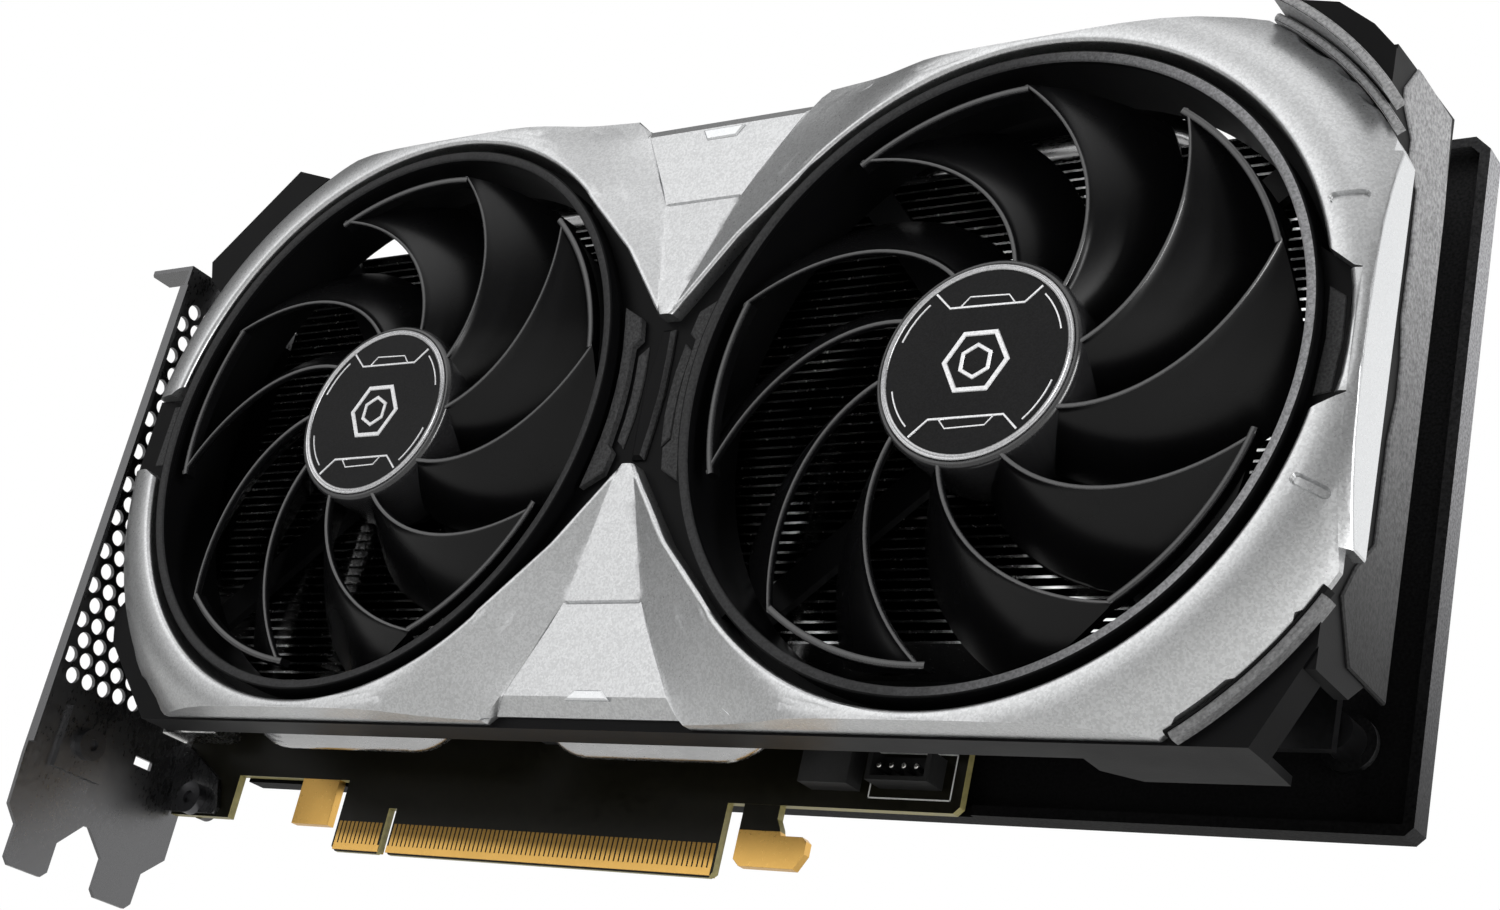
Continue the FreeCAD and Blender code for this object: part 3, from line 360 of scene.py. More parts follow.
# painted reflection: the nickel bracket's colour is darkened to stand in for its dark reflection of the
# shroud
BRACKET = metal("bracket_nickel_painted_dark_reflection", (0.15, 0.15, 0.153), 0.30, (1.0, 1.0, 0.5), 0.5, 0.04, 0.0004).done()
SPRING = metal("spring_steel", (0.42, 0.42, 0.42), 0.34).done()
SCREW = metal("screw_black_zinc", (0.10, 0.10, 0.105), 0.34, size=0.3).done()
SHELL = metal("socket_shell_steel", (0.58, 0.58, 0.57), 0.28, size=0.6).done()
PLATE = metal("base_plate_black_nickel", (0.08, 0.08, 0.083), 0.38, size=0.8).done()
PIN = metal("pin_tin", (0.66, 0.65, 0.62), 0.26, size=0.3).done()
CAN = metal("capacitor_can", (0.60, 0.60, 0.61), 0.30, size=0.4).done()
COPPER = metal("winding_copper", (0.72, 0.36, 0.20), 0.32, size=0.2, spread=0.25).done()
MAGNET = metal("magnet_ferrite", (0.09, 0.09, 0.09), 0.55, size=0.3).done()
BRONZE = metal("bearing_bronze", (0.62, 0.44, 0.25), 0.36, size=0.3).done()
SHAFT = metal("shaft_steel", (0.60, 0.60, 0.61), 0.20, (1.0, 0.2, 1.0), 0.2).done()


def tray():
    """Grained black tray with painted light: paler on the outside of its rim at the free end, where the right
    lamp falls, and towards the top.
    """
    finish = Finish("backplate_grained_black_painted_light", (0.030, 0.030, 0.031), 0.46, specular=0.03)
    # painted light: faces turned to +X up to ten times brighter, and the whole tray up to twenty times
    # brighter towards the top
    finish.shade(finish.spread(finish.facing("X"), 0.10, 1.0, (0.5, 0.8)))
    finish.fade_along("Z", 0.0, 0.12, 0.6, 12.0)
    grain = finish.noise(0.45, 2.0)
    return finish.vary(grain, 0.4).polish_by(grain, 0.05).raise_by(grain, 0.03).done()


BACKPLATE = tray()


def board():
    """Black solder mask on the faces of the board and olive laminate on its cut edges."""
    finish = Finish("solder_mask_black", (0.25, 0.22, 0.09), 0.34, specular=0.2)
    finish.shade(finish.spread(finish.math("ABSOLUTE", finish.facing("Y")), 1.0, 0.02, (0.4, 0.6)))
    weave = finish.noise(1.2, 2.0)
    return finish.vary(weave, 0.2).polish_by(weave, 0.05).raise_by(weave, 0.003).done()


MASK = board()
SUBSTRATE = moulded("package_substrate", (0.020, 0.060, 0.032), 0.35, 0.8, 0.004).done()
SILICON = metal("die_silicon", (0.22, 0.23, 0.26), 0.10, size=2.0, spread=0.04, height=0.0005).done()
CHIP = moulded("chip_epoxy", (0.018, 0.018, 0.019), 0.42, 0.25, 0.008).done()
CHOKE = moulded("choke_pressed_grey", (0.10, 0.10, 0.105), 0.55, 0.5, 0.02).done()
PAD = moulded("thermal_pad_grey", (0.28, 0.30, 0.33), 0.70, 0.8, 0.03).done()
LEAD = moulded("lead_sleeve_black", (0.016, 0.016, 0.016), 0.45, 0.4, 0.01).done()


def gold_plating(name, worn=0.0):
    """Gold plating; worn contacts are browner towards the top."""
    finish = Finish(name, (0.74, 0.44, 0.12), 0.30, metallic=1.0)
    if worn:
        finish.fade_along("Z", 0.0018, 0.0040, 1.0, 1.0 - worn)
    marks = finish.noise(0.5, 4.0)
    finish.vary(marks, 0.03).vary(finish.noise(9.0), 0.05)
    finish.polish_by(marks, 0.03).raise_by(marks, 0.0002)
    return finish.done()


GOLD = gold_plating("gold_plating")
CONTACT = gold_plating("gold_contacts", 0.62)
SILK = moulded("board_white_ink", (0.62, 0.62, 0.60), 0.6, 0.4, 0.002, 0.1).done()

MATERIAL_OF = {
    "pcb": MASK, "edge_contacts": CONTACT, "plated_tabs": GOLD, "gpu_package": SUBSTRATE, "gpu_die": SILICON,
    "memory_chips": CHIP, "chokes": CHOKE, "power_stages": CHIP, "capacitors": CAN, "thermal_pads": PAD,
    "power_connector": SOCKET_BLACK, "power_pins": PIN, "fan_header": HEADER, "fan_lead": LEAD,
    "io_bracket": BRACKET, "bracket_screws": SCREW, "displayport_sockets": SHELL, "hdmi_socket": SHELL,
    "heat_pipes": NICKEL, "fin_stack_main": FIN, "fin_stack_far": FIN, "cold_plate": NICKEL,
    "base_plate": PLATE, "retention_bracket": SPRING, "retention_screws": SCREW, "backplate": BACKPLATE,
    "backplate_screws": SCREW, "shroud": SHROUD_BLACK, "upper_cover": SILVER, "lower_cover": SILVER,
    "side_trim": TRIM, "side_bar": SILVER,
    "fan_screws": SCREW, "motor_mount": MOUNT_BLACK, "motor_bearing": BRONZE, "motor_stator": COPPER,
    "magnet_ring": MAGNET, "shaft": SHAFT, "rotor": BLADE, "hub_badge": BADGE,
}


def finish_node(name, node):
    """Gives a CAD node its material; pieces of the two fans share the name before _left or _right."""
    material = MATERIAL_OF[name.removesuffix("_left").removesuffix("_right")]
    if not node.material_slots:
        node.data.materials.append(material)
    for slot in node.material_slots:
        slot.material = material


for NAME, NODE in NODES.items():
    finish_node(NAME, NODE)

# ---- mesh builders -----------------------------------------------------------------------------------


def mesh_piece(name, points, faces, materials, body="card", sharp=20.0, stands_for=(), paint=None):
    """A closed mesh piece, points in millimetres, that rides on a CAD body.
    Edges over sharp degrees stay sharp; paint picks the material of each face."""
    mesh = bpy.data.meshes.new(name)
    mesh.from_pydata([(x * MM, y * MM, z * MM) for x, y, z in points], [], faces)
    mesh.validate()
    work = bmesh.new()
    work.from_mesh(mesh)
    bmesh.ops.recalc_face_normals(work, faces=work.faces)
    work.to_mesh(mesh)
    work.free()
    for material in materials:
        mesh.materials.append(material)
    if paint:
        for polygon in mesh.polygons:
            x, y, z = polygon.center / MM
            polygon.material_index = paint(x, y, z, polygon.normal)
    mesh.polygons.foreach_set("use_smooth", [True] * len(mesh.polygons))
    mesh.set_sharp_from_angle(angle=math.radians(sharp))
    piece = bpy.data.objects.new(name, mesh)
    SCENE.collection.objects.link(piece)
    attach(piece, body)
    if stands_for:
        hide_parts(*stands_for)
    return piece


class Shell:
    """Collects the points and faces of one mesh."""

    def __init__(self):
        self.points = []
        self.faces = []

    def add(self, points, faces):
        base = len(self.points)
        self.points += points
        self.faces += [tuple(base + i for i in face) for face in faces]

    def grid(self, rows, close_u=False, close_v=False):
        """Quads over a grid of points, row by row."""
        width = len(rows[0])
        count = len(rows)
        faces = []
        for i in range(count if close_u else count - 1):
            for j in range(width if close_v else width - 1):
                a, b = i * width + j, i * width + (j + 1) % width
                c, d = ((i + 1) % count) * width + (j + 1) % width, ((i + 1) % count) * width + j
                faces.append((a, b, c, d))
        self.add([p for row in rows for p in row], faces)

    def loft(self, rings):
        """Closed sections joined along the row, with both end sections capped."""
        self.grid(rings, close_v=True)
        width = len(rings[0])
        base = len(self.points) - width * len(rings)
        self.faces.append(tuple(base + i for i in range(width)))
        self.faces.append(tuple(len(self.points) - 1 - i for i in range(width)))

    def lathe(self, cx, cz, profile, segments=180):
        """A closed profile of (radius, y) turned about an axis along y."""
        rows = [turned(cx, cz, profile, 360.0 * k / segments) for k in range(segments)]
        self.grid(rows, close_u=True, close_v=True)


def sheet_solid(curves, keep, height, back):
    """A solid whose front is the surface y = height(x, z) over the cells of a flat net that keep() accepts.
    curves are open lists of points whose edges the net follows."""
    flat, edges = [], []
    for curve in curves:
        start = len(flat)
        flat += [Vector(p) for p in curve]
        edges += [(start + i, start + i + 1) for i in range(len(curve) - 1)]
    verts, _, cells, _, _, _ = delaunay_2d_cdt(flat, edges, [], 0, 1e-4, True)
    used, front = {}, []
    for cell in cells:
        cx = sum(verts[i].x for i in cell) / len(cell)
        cz = sum(verts[i].y for i in cell) / len(cell)
        if keep(cx, cz):
            front.append(tuple(used.setdefault(i, len(used)) for i in cell))
    order = sorted(used, key=used.get)
    points = [(verts[i].x, height(verts[i].x, verts[i].y), verts[i].y) for i in order]
    count = len(points)
    points += [(x, back, z) for x, _, z in points]
    seen = dict.fromkeys(pair for cell in front for pair in zip(cell, cell[1:] + cell[:1]))
    faces = list(front)
    faces += [tuple(i + count for i in cell[::-1]) for cell in front]
    faces += [(b, a, a + count, b + count) for a, b in seen if (b, a) not in seen]
    return points, faces


# ---- silver covers -------------------------------------------------------------------------------------


def flank(h):
    """Half-width of the web between the two fans at a height from the fan axis."""
    if h < FLANK[-1][0]:
        return along(FLANK, h)
    if h < COVER_R:
        return HALF_SPAN - math.sqrt(COVER_R ** 2 - h ** 2)
    return HALF_SPAN


def ring_depth(x, z):
    """Depth of the turned ring of the nearer fan."""
    r = min(math.hypot(x - cx, z - cz) for cx, cz in FANS.values())
    return along(RING_PROFILE, r) if r < COVER_OUT_R else -31.0


def web_depth(x, h):
    """Depth of the centre facet and, beyond its ridges, of the flanks that rise to the rolled edge."""
    side = abs(x - MIDDLE_X)
    ridge = along(RIDGE, h)
    centre = along(WEB_DEPTH, h)
    if side > ridge:
        share = min(1.0, (side - ridge) / max(flank(h) - ridge, 0.5))
        return centre + (along(CREST_DEPTH, h) - centre) * share
    if h > RECESS[0][0] and side < along([(k, half) for k, half, _ in RECESS], h):
        return along([(k, y) for k, _, y in RECESS], h)
    groove = min(line_distance((x - MIDDLE_X, h), a, b) for a, b in zip(GROOVE, GROOVE[1:]))
    return centre + GROOVE_DEPTH * max(0.0, 1.0 - groove / GROOVE_HALF)


def edge_gap(x, z):
    """Distance from the inner edge that the covers roll over at."""
    h, side = abs(z - FAN_Z), abs(x - MIDDLE_X)
    if side < HALF_SPAN and h < FLANK[-1][0]:
        return min(line_distance((side, h), a[::-1], b[::-1]) for a, b in zip(FLANK, FLANK[1:]))
    return min(math.hypot(x - cx, z - cz) for cx, cz in FANS.values()) - COVER_R


def rounded(gap, radius):
    """Drop of a rounded edge of this radius at a distance from the edge."""
    roll = max(0.0, 1.0 - gap / radius)
    return radius * (1.0 - math.sqrt(1.0 - min(1.0, roll) ** 2))


def dimple_ends(dimple):
    """Both ends of the middle line of a dimple."""
    x, z, degrees = dimple
    a = math.radians(degrees)
    return [(x + s * DIMPLE_HALF * math.cos(a), z - s * DIMPLE_HALF * math.sin(a)) for s in (1, -1)]


def cover_depth(x, z):
    """Depth of the silver surface: two turned rings that melt into the flanks of the web."""
    h, side = abs(z - FAN_Z), abs(x - MIDDLE_X)
    depth = ring_depth(x, z)
    if side < HALF_SPAN and h > 13.0:
        share = max(0.0, min(1.0, (side - 24.0) / 20.0))
        share = share * share * (3.0 - 2.0 * share)
        depth = depth * share + web_depth(x, h) * (1.0 - share)
    depth += rounded(edge_gap(x, z), EDGE_ROLL)
    for dimple in DIMPLES:
        gap = line_distance((x, z), *dimple_ends(dimple))
        depth += DIMPLE_DEPTH * max(0.0, min(1.0, (0.85 - gap) / 0.35))
    return depth


def in_cover(x, z):
    """Whether a silver cover reaches this place."""
    h = abs(z - FAN_Z)
    radii = [math.hypot(x - cx, z - cz) for cx, cz in FANS.values()]
    if min(radii) < COVER_R or h > COVER_HIGH - FAN_Z:
        return False
    if inside((x, z), NOTCH_RIGHT) or inside((x, z), NOTCH_LEFT):
        return False
    side = abs(x - MIDDLE_X)
    if side < HALF_SPAN:
        if h < WEB_START or side > flank(h):
            return False
        if h > RECESS[-1][0] and side < RECESS[-1][1] + (h - RECESS[-1][0]) * 1.2:
            return False
        return min(radii) < COVER_OUT_R or side < 25.0
    return min(radii) < COVER_OUT_R


def cover_curves(x0, x1, z0, z1):
    """Net lines: the outline, the rings of the profile, the folds of the web and the edges of grooves."""
    curves = [[(x0, z0), (x1, z0), (x1, z1), (x0, z1), (x0, z0)]]
    rings = [COVER_R + step for step in (0.0, 0.06, 0.2, 0.4, 0.65, 0.95)]
    rings += [r for r, _ in RING_PROFILE] + [55.2, 57.2, 59.2, 61.6, 64.0]
    for cx, cz in FANS.values():
        curves += [arc(cx, cz, r, 0, 360, 1.8) for r in rings]
    curves += [NOTCH_RIGHT + NOTCH_RIGHT[:1], NOTCH_LEFT + NOTCH_LEFT[:1]]
    for up in (1, -1):
        for side in (1, -1):
            place = lambda table: [(MIDDLE_X + side * half, FAN_Z + up * h) for h, half in table]
            curves.append(place(RIDGE))
            for inward in (0.0, 0.06, 0.2, 0.45, 0.9):
                curves.append(place([(h, max(half - inward * 1.3, 0.0)) for h, half in FLANK]))
            for inward in (0.0, 0.12):
                curves.append(place([(h, half - inward) for h, half, _ in RECESS] + [(54.6, 19.98 - inward)]))
            for k in range(1, 8):
                curves.append(place([(h, along(RIDGE, h) + (flank(h) - along(RIDGE, h)) * k / 8.0)
                                     for h in [16 + 2.2 * i for i in range(18)]]))
        for h, half in (RIDGE[0], RECESS[0][:2], RECESS[1][:2]):
            curves.append([(MIDDLE_X - half, FAN_Z + up * h), (MIDDLE_X + half, FAN_Z + up * h)])
        for shift in (-GROOVE_HALF, 0.0, GROOVE_HALF):
            curves.append([(MIDDLE_X + x + (shift if x > 0 else -shift), FAN_Z + up * (h - shift))
                           for x, h in GROOVE])
    for dimple in DIMPLES:
        first, second = dimple_ends(dimple)
        turn = 90 - dimple[2]
        for r in (1.3, 0.86, 0.68, 0.5):
            ring = arc(*first, r, turn - 180, turn, 20) + arc(*second, r, turn, turn + 180, 20)
            curves.append(ring + ring[:1])
    return curves


def silver_cover(name, z0, z1):
    def keep(x, z):
        return COVER_LEFT < x < COVER_SEAM and z0 < z < z1 and in_cover(x, z)

    points, faces = sheet_solid(cover_curves(COVER_LEFT, COVER_SEAM, z0, z1), keep, cover_depth, COVER_BACK)
    mesh_piece("silver_" + name, points, faces, [SILVER], sharp=24.0, stands_for=[name])


def side_strip():
    """The covers' flat side wall on the free end: silver where it turns to the front, bright on the side."""
    curves = cover_curves(COVER_SEAM, SIDE_X, STRIP_LOW, STRIP_HIGH)
    for gap in (FOLD, 0.2, 0.1, 0.03):
        curves.append([(SIDE_X - gap, STRIP_LOW), (SIDE_X - gap, STRIP_HIGH)])

    def depth(x, z):
        return cover_depth(x, z) + rounded(SIDE_X - x, FOLD)

    def keep(x, z):
        within = COVER_SEAM < x < SIDE_X and STRIP_LOW < z < STRIP_HIGH
        return within and math.hypot(x - FANS["right"][0], z - FAN_Z) < COVER_OUT_R

    def paint(x, y, z, normal):
        return 1 if normal.x > 0.8 else 0

    points, faces = sheet_solid(curves, keep, depth, STRIP_BACK)
    mesh_piece("side_strip", points, faces, [SILVER, TRIM], sharp=24.0, stands_for=["side_trim"],
               paint=paint)


BAR_EDGE = [(181.5, 59.4), (182.1, 62.0), (182.4, 66.0), (182.4, 70.5), (182.1, 74.5), (181.5, 77.3)]
BAR_ROLL = 1.5


def notch_bar():
    """Short bar across the notch, rolled over along its hollow inner edge."""
    outline = BAR_EDGE + [(COVER_SEAM, BAR_EDGE[-1][1]), (COVER_SEAM, BAR_EDGE[0][1])]
    curves = [outline + outline[:1]]
    for inward in (0.08, 0.25, 0.5, 0.85):
        curves.append([(x + inward, z) for x, z in BAR_EDGE])

    def depth(x, z):
        gap = min(line_distance((x, z), a, b) for a, b in zip(BAR_EDGE, BAR_EDGE[1:]))
        return ring_depth(x, z) + 0.1 + 0.8 * rounded(gap, BAR_ROLL)

    def keep(x, z):
        return inside((x, z), outline)

    points, faces = sheet_solid(curves, keep, depth, COVER_BACK)
    mesh_piece("notch_bar", points, faces, [SILVER], sharp=24.0, stands_for=["side_bar"])


silver_cover("upper_cover", FAN_Z, COVER_HIGH)
silver_cover("lower_cover", COVER_LOW, FAN_Z)
side_strip()
notch_bar()

# ---- fans ----------------------------------------------------------------------------------------------


def blade_section(cx, cz, tip, r):
    """Closed section of a blade at one radius: raised rim bead, convex front, thin tail and back."""
    lead = tip - SWEEP * (TIP_R - r)
    width = math.radians(CHORD) * r

    def camber(s):
        return -s * width, -36.55 + 9.9 * s - 3.2 * s * (1.0 - s)

    bead = [(0.45, -36.0), (0.44, -36.72), (0.36, -36.96), (0.12, -37.04), (-0.26, -37.02), (-0.40, -36.90)]
    front = []
    for s in (0.06, 0.12, 0.2, 0.3, 0.4, 0.5, 0.6, 0.7, 0.8, 0.9, 0.97, 1.0):
        a, y = camber(s)
        front.append((a, y - 0.30 * (1.0 - 0.5 * s)))
    rear = []
    for s in (1.0, 0.9, 0.75, 0.6, 0.45, 0.3, 0.15, 0.03):
        a, y = camber(s)
        rear.append((a, y + 1.1 * (1.0 - 0.6 * s)))
    ring = []
    for a, y in bead + front + rear:
        x, z = polar(cx, cz, r, lead + math.degrees(a / r))
        ring.append((x, y, z))
    return ring


# sections as (radius, y)
TIP_BEAD = [(46.8, -35.0), (46.8, -36.75), (46.72, -37.0), (46.5, -37.12), (45.95, -37.1), (45.75, -36.98),
            (45.7, -36.7), (45.6, -35.0)]
HUB_CUP = [(15.75, -36.9), (15.8, -37.15), (15.95, -37.25), (16.25, -37.2), (16.6, -36.9), (16.78, -36.4),
           (16.8, -35.8), (16.8, -25.6), (15.3, -25.6), (15.25, -34.6), (1.6, -34.6), (1.6, -36.4),
           (15.6, -36.4)]
BLADE_STEP = 36.0


def rotor(side):
    """Ten blades in five pairs, each pair joined by a bead round its tips, and the hub's cup."""
    cx, cz = FANS[side]
    body = "fan_" + side
    shell = Shell()
    radii = [ROOT_R + (TIP_R - ROOT_R) * k / 22.0 for k in range(23)]
    for pair in range(5):
        tip = FIRST_TIP[side] + 2 * BLADE_STEP * pair
        for lead in (tip, tip - BLADE_STEP):
            shell.loft([blade_section(cx, cz, lead, r) for r in radii])
        shell.loft([turned(cx, cz, TIP_BEAD, tip + 0.6 - 37.2 * k / 20.0) for k in range(21)])

    def paint(x, y, z, normal):
        return 1 if y < -36.78 else 0

    mesh_piece("blades_" + side, shell.points, shell.faces, [BLADE, RIM], body, 40.0, ["rotor_" + side],
               paint)
    cup = Shell()
    cup.lathe(cx, cz, HUB_CUP)
    mesh_piece("hub_cup_" + side, cup.points, cup.faces, [RIM], body, 30.0)


for SIDE in FANS:
    rotor(SIDE)

BADGE_DISC = [(0.05, -37.0), (0.05, -37.3), (14.7, -37.3), (14.72, -37.0)]
BADGE_RIMS = [(14.75, -37.0), (14.75, -37.4), (14.85, -37.52), (15.05, -37.56), (15.2, -37.46),
              (15.26, -37.3), (15.36, -37.3), (15.42, -37.42), (15.55, -37.46), (15.66, -37.36),
              (15.7, -37.0)]
OUTER_FRAME = [(-8.8, 11.6), (-6.0, 9.0), (6.4, 8.9), (8.9, 11.3)]
INNER_FRAME = [(-4.2, 9.1), (-2.9, 10.6), (3.6, 10.4), (4.8, 9.0)]
LINE_FOOT = -37.28
LINE_TOP = -37.42


def badge_strip(shell, cx, cz, path, width, closed=False):
    """A raised line along a path given from the middle of the badge."""
    rows = []
    count = len(path)
    for i, (x, z) in enumerate(path):
        a = path[(i - 1) % count] if closed or i else path[i]
        b = path[(i + 1) % count] if closed or i < count - 1 else path[i]
        length = math.hypot(b[0] - a[0], b[1] - a[1])
        nx, nz = -(b[1] - a[1]) / length, (b[0] - a[0]) / length
        w = width / 2
        rows.append([(cx + x + nx * w * part, y, cz + z + nz * w * part)
                     for part, y in ((-1.0, LINE_FOOT), (-0.7, LINE_TOP), (0.7, LINE_TOP), (1.0, LINE_FOOT))])
    if closed:
        shell.grid(rows, close_u=True, close_v=True)
    else:
        shell.loft(rows)


def badge(side):
    """Plain disc with two hanging frames, four side arcs, a double hexagon and two bright rims."""
    cx, cz = FANS[side]
    body = "fan_" + side
    disc = Shell()
    disc.lathe(cx, cz, BADGE_DISC)
    mesh_piece("badge_face_" + side, disc.points, disc.faces, [BADGE], body, 30.0, ["hub_badge_" + side])
    lines = Shell()
    for up in (1, -1):
        for frame_line, width in ((OUTER_FRAME, 0.42), (INNER_FRAME, 0.28)):
            badge_strip(lines, cx, cz, [(x, up * z) for x, z in frame_line], width)
        for start in (17.0, 134.0):
            badge_strip(lines, cx, cz, arc(0, 0, 13.75, up * start, up * (start + 29.0), 4.0), 0.3)
    badge_strip(lines, cx, cz, [polar(0, 0, 5.2, 60.0 * k) for k in range(6)], 1.0, closed=True)
    badge_strip(lines, cx, cz, [polar(0, 0, 2.6, 60.0 * k + 30.0) for k in range(6)], 0.8, closed=True)
    lines.lathe(cx, cz, BADGE_RIMS)
    mesh_piece("badge_lines_" + side, lines.points, lines.faces, [BADGE_LINE], body, 40.0)


for SIDE in FANS:
    badge(SIDE)

# ---- lips of the fan tubes -----------------------------------------------------------------------------

LIP_SECTION = [(49.64, -36.9), (49.66, -37.7), (49.82, -38.0), (50.1, -38.14), (50.75, -38.14),
               (51.1, -38.12), (51.36, -37.9), (51.36, -36.6), (51.0, -36.5), (50.0, -36.5)]


def fan_lip(side):
    """Lip round a fan tube, black on its flanks; its crest is the shroud's black plastic painted a lighter
    grey as painted light, brightest towards the right.
    """
    cx, cz = FANS[side]
    lip = Shell()
    lip.lathe(cx, cz, LIP_SECTION)

    def paint(x, y, z, normal):
        return 1 if math.hypot(x - cx, z - cz) > 51.0 or y > -37.6 else 0

    mesh_piece("fan_lip_" + side, lip.points, lip.faces, [LIP_GREY_PAINTED_LIGHT, SHROUD_BLACK], sharp=30.0, paint=paint)


for SIDE in FANS:
    fan_lip(SIDE)

# ---- raised and inset details of the shroud --------------------------------------------------------------


def shrunk(ring, step):
    """The ring with every edge moved inward by step."""
    area = sum(a[0] * b[1] - b[0] * a[1] for a, b in zip(ring, ring[1:] + ring[:1]))
    turn = 1.0 if area > 0 else -1.0
    out = []
    for i, point in enumerate(ring):
        before, after = ring[i - 1], ring[(i + 1) % len(ring)]
        d0 = Vector((point[0] - before[0], point[1] - before[1])).normalized()
        d1 = Vector((after[0] - point[0], after[1] - point[1])).normalized()
        n0, n1 = Vector((-d0.y, d0.x)) * turn, Vector((-d1.y, d1.x)) * turn
        mid = (n0 + n1).normalized()
        reach = step / max(0.35, mid.dot(n0))
        out.append((point[0] + mid.x * reach, point[1] + mid.y * reach))
    return out


def plate(shell, ring, front, back, bevel, facing="y"):
    """A flat piece with a chamfered border; its outline lies across y, or across x as (y, z) points."""
    def place(outline, depth):
        return [(p[0], depth, p[1]) if facing == "y" else (depth, p[0], p[1]) for p in outline]

    edge = front + math.copysign(bevel, back - front)
    rows = [place(ring, back), place(ring, edge), place(shrunk(ring, bevel), front)]
    shell.grid(rows, close_v=True)
    count = len(ring)
    base = len(shell.points) - 3 * count
    shell.faces.append(tuple(base + i for i in range(count)))
    shell.faces.append(tuple(base + 2 * count + i for i in range(count)))


def plate_piece(name, ring, front, back, bevel, material):
    """A single chamfered plate as a piece of its own."""
    shell = Shell()
    plate(shell, ring, front, back, bevel)
    mesh_piece(name, shell.points, shell.faces, [material])


# channel between the fans, each as (x, z) from its middle; CHANNEL_BACK lies inside the shroud
CHANNEL_BACK = -34.0
STRIP_SIDE = [(9.9, 16.1), (5.9, 13.8), (5.1, 10.0), (6.4, 8.7), (5.9, 3.3), (5.8, 0.0), (5.9, -3.3),
              (6.4, -8.7), (5.1, -10.0), (5.9, -13.8), (9.9, -16.1)]
STRIP_R = 52.5
SLENDER = [(3.7, 8.9), (5.5, 7.3), (5.05, 3.0), (4.9, 0.0), (5.0, -4.0), (5.4, -7.8), (3.8, -9.3),
           (3.0, -4.0), (2.85, 0.0), (3.0, 4.0)]
SPINE = [(1.2, 11.5), (1.7, 6.0), (2.0, 0.0), (1.7, -6.0), (1.2, -11.5)]


def channel_pieces():
    """Grained strips beside both fan tubes, slender insets next to them and the spine between the points."""
    tail = [(HALF_SPAN - math.sqrt(STRIP_R ** 2 - z * z), z) for z in range(-12, 13, 4)]
    kinds = (("strip", STRIP_SIDE + tail, -36.1, 0.22), ("inset", SLENDER, -35.0, 0.18))
    for side, turn in (("left", -1), ("right", 1)):
        for name, ring, front, bevel in kinds:
            placed = [(MIDDLE_X + turn * x, FAN_Z + z) for x, z in ring]
            plate_piece("channel_" + name + "_" + side, placed, front, CHANNEL_BACK, bevel, INSET_GREY)
    spine = Shell()
    outline = SPINE + [(-x, z) for x, z in SPINE[::-1]]
    plate(spine, [(MIDDLE_X + x, FAN_Z + z) for x, z in outline], -35.7, CHANNEL_BACK, 0.6)
    # painted light: the spine's faces turned to +X get the insets' grey, the rest stays black
    mesh_piece("channel_spine", spine.points, spine.faces, [SHROUD_BLACK, INSET_GREY],
               paint=lambda x, y, z, normal: 1 if normal.x > 0.3 else 0)


channel_pieces()

NOTCH_INSETS = {
    "right": [(178.2, 76.2), (180.8, 74.4), (181.1, 68.2), (180.4, 60.4), (177.9, 60.0), (178.6, 68.4)],
    "left": [(-46.6, 73.6), (-49.4, 73.6), (-49.6, 61.4), (-46.8, 61.4)],
}

for SIDE, RING in NOTCH_INSETS.items():
    plate_piece("notch_inset_" + SIDE, RING, -35.62, -35.2, 0.15, INSET_GREY)

# plated tab, hook and its neck as (x, z), stretches of the contacts in x, box of the header's outline,
# and the pins of the header
TAB = [(-24.4, 4.5), (-24.4, 13.0), (-15.1, 13.0), (-15.1, 4.5)]
HOOK = [(75.9, 8.0), (83.8, 8.0), (84.1, 7.3), (88.2, 7.3), (89.1, 6.6), (89.1, 4.6), (87.6, 2.1),
        (77.2, 2.1), (75.9, 3.2)]
HOOK_NECK = [(75.9, 8.0), (75.9, 12.2), (82.8, 12.2), (82.8, 10.0), (83.6, 8.6), (83.8, 8.0)]
BOARD_FACE = 0.8
CONTACT_SPANS = ((-12.2, -0.95), (0.95, 72.1))
CONTACT_FACE = 0.85
OUTLINE_LOW = (98.6, 14.0)
OUTLINE_HIGH = (113.4, 21.4)
INK_WIDTH = 0.22
HEADER_PITCH = 2.2
FIRST_PIN = (102.7, 17.9)
PIN_R = 0.42


def box_ring(x0, x1, z0, z1):
    """Outline of an upright rectangle."""
    return [(x0, z0), (x1, z0), (x1, z1), (x0, z1)]


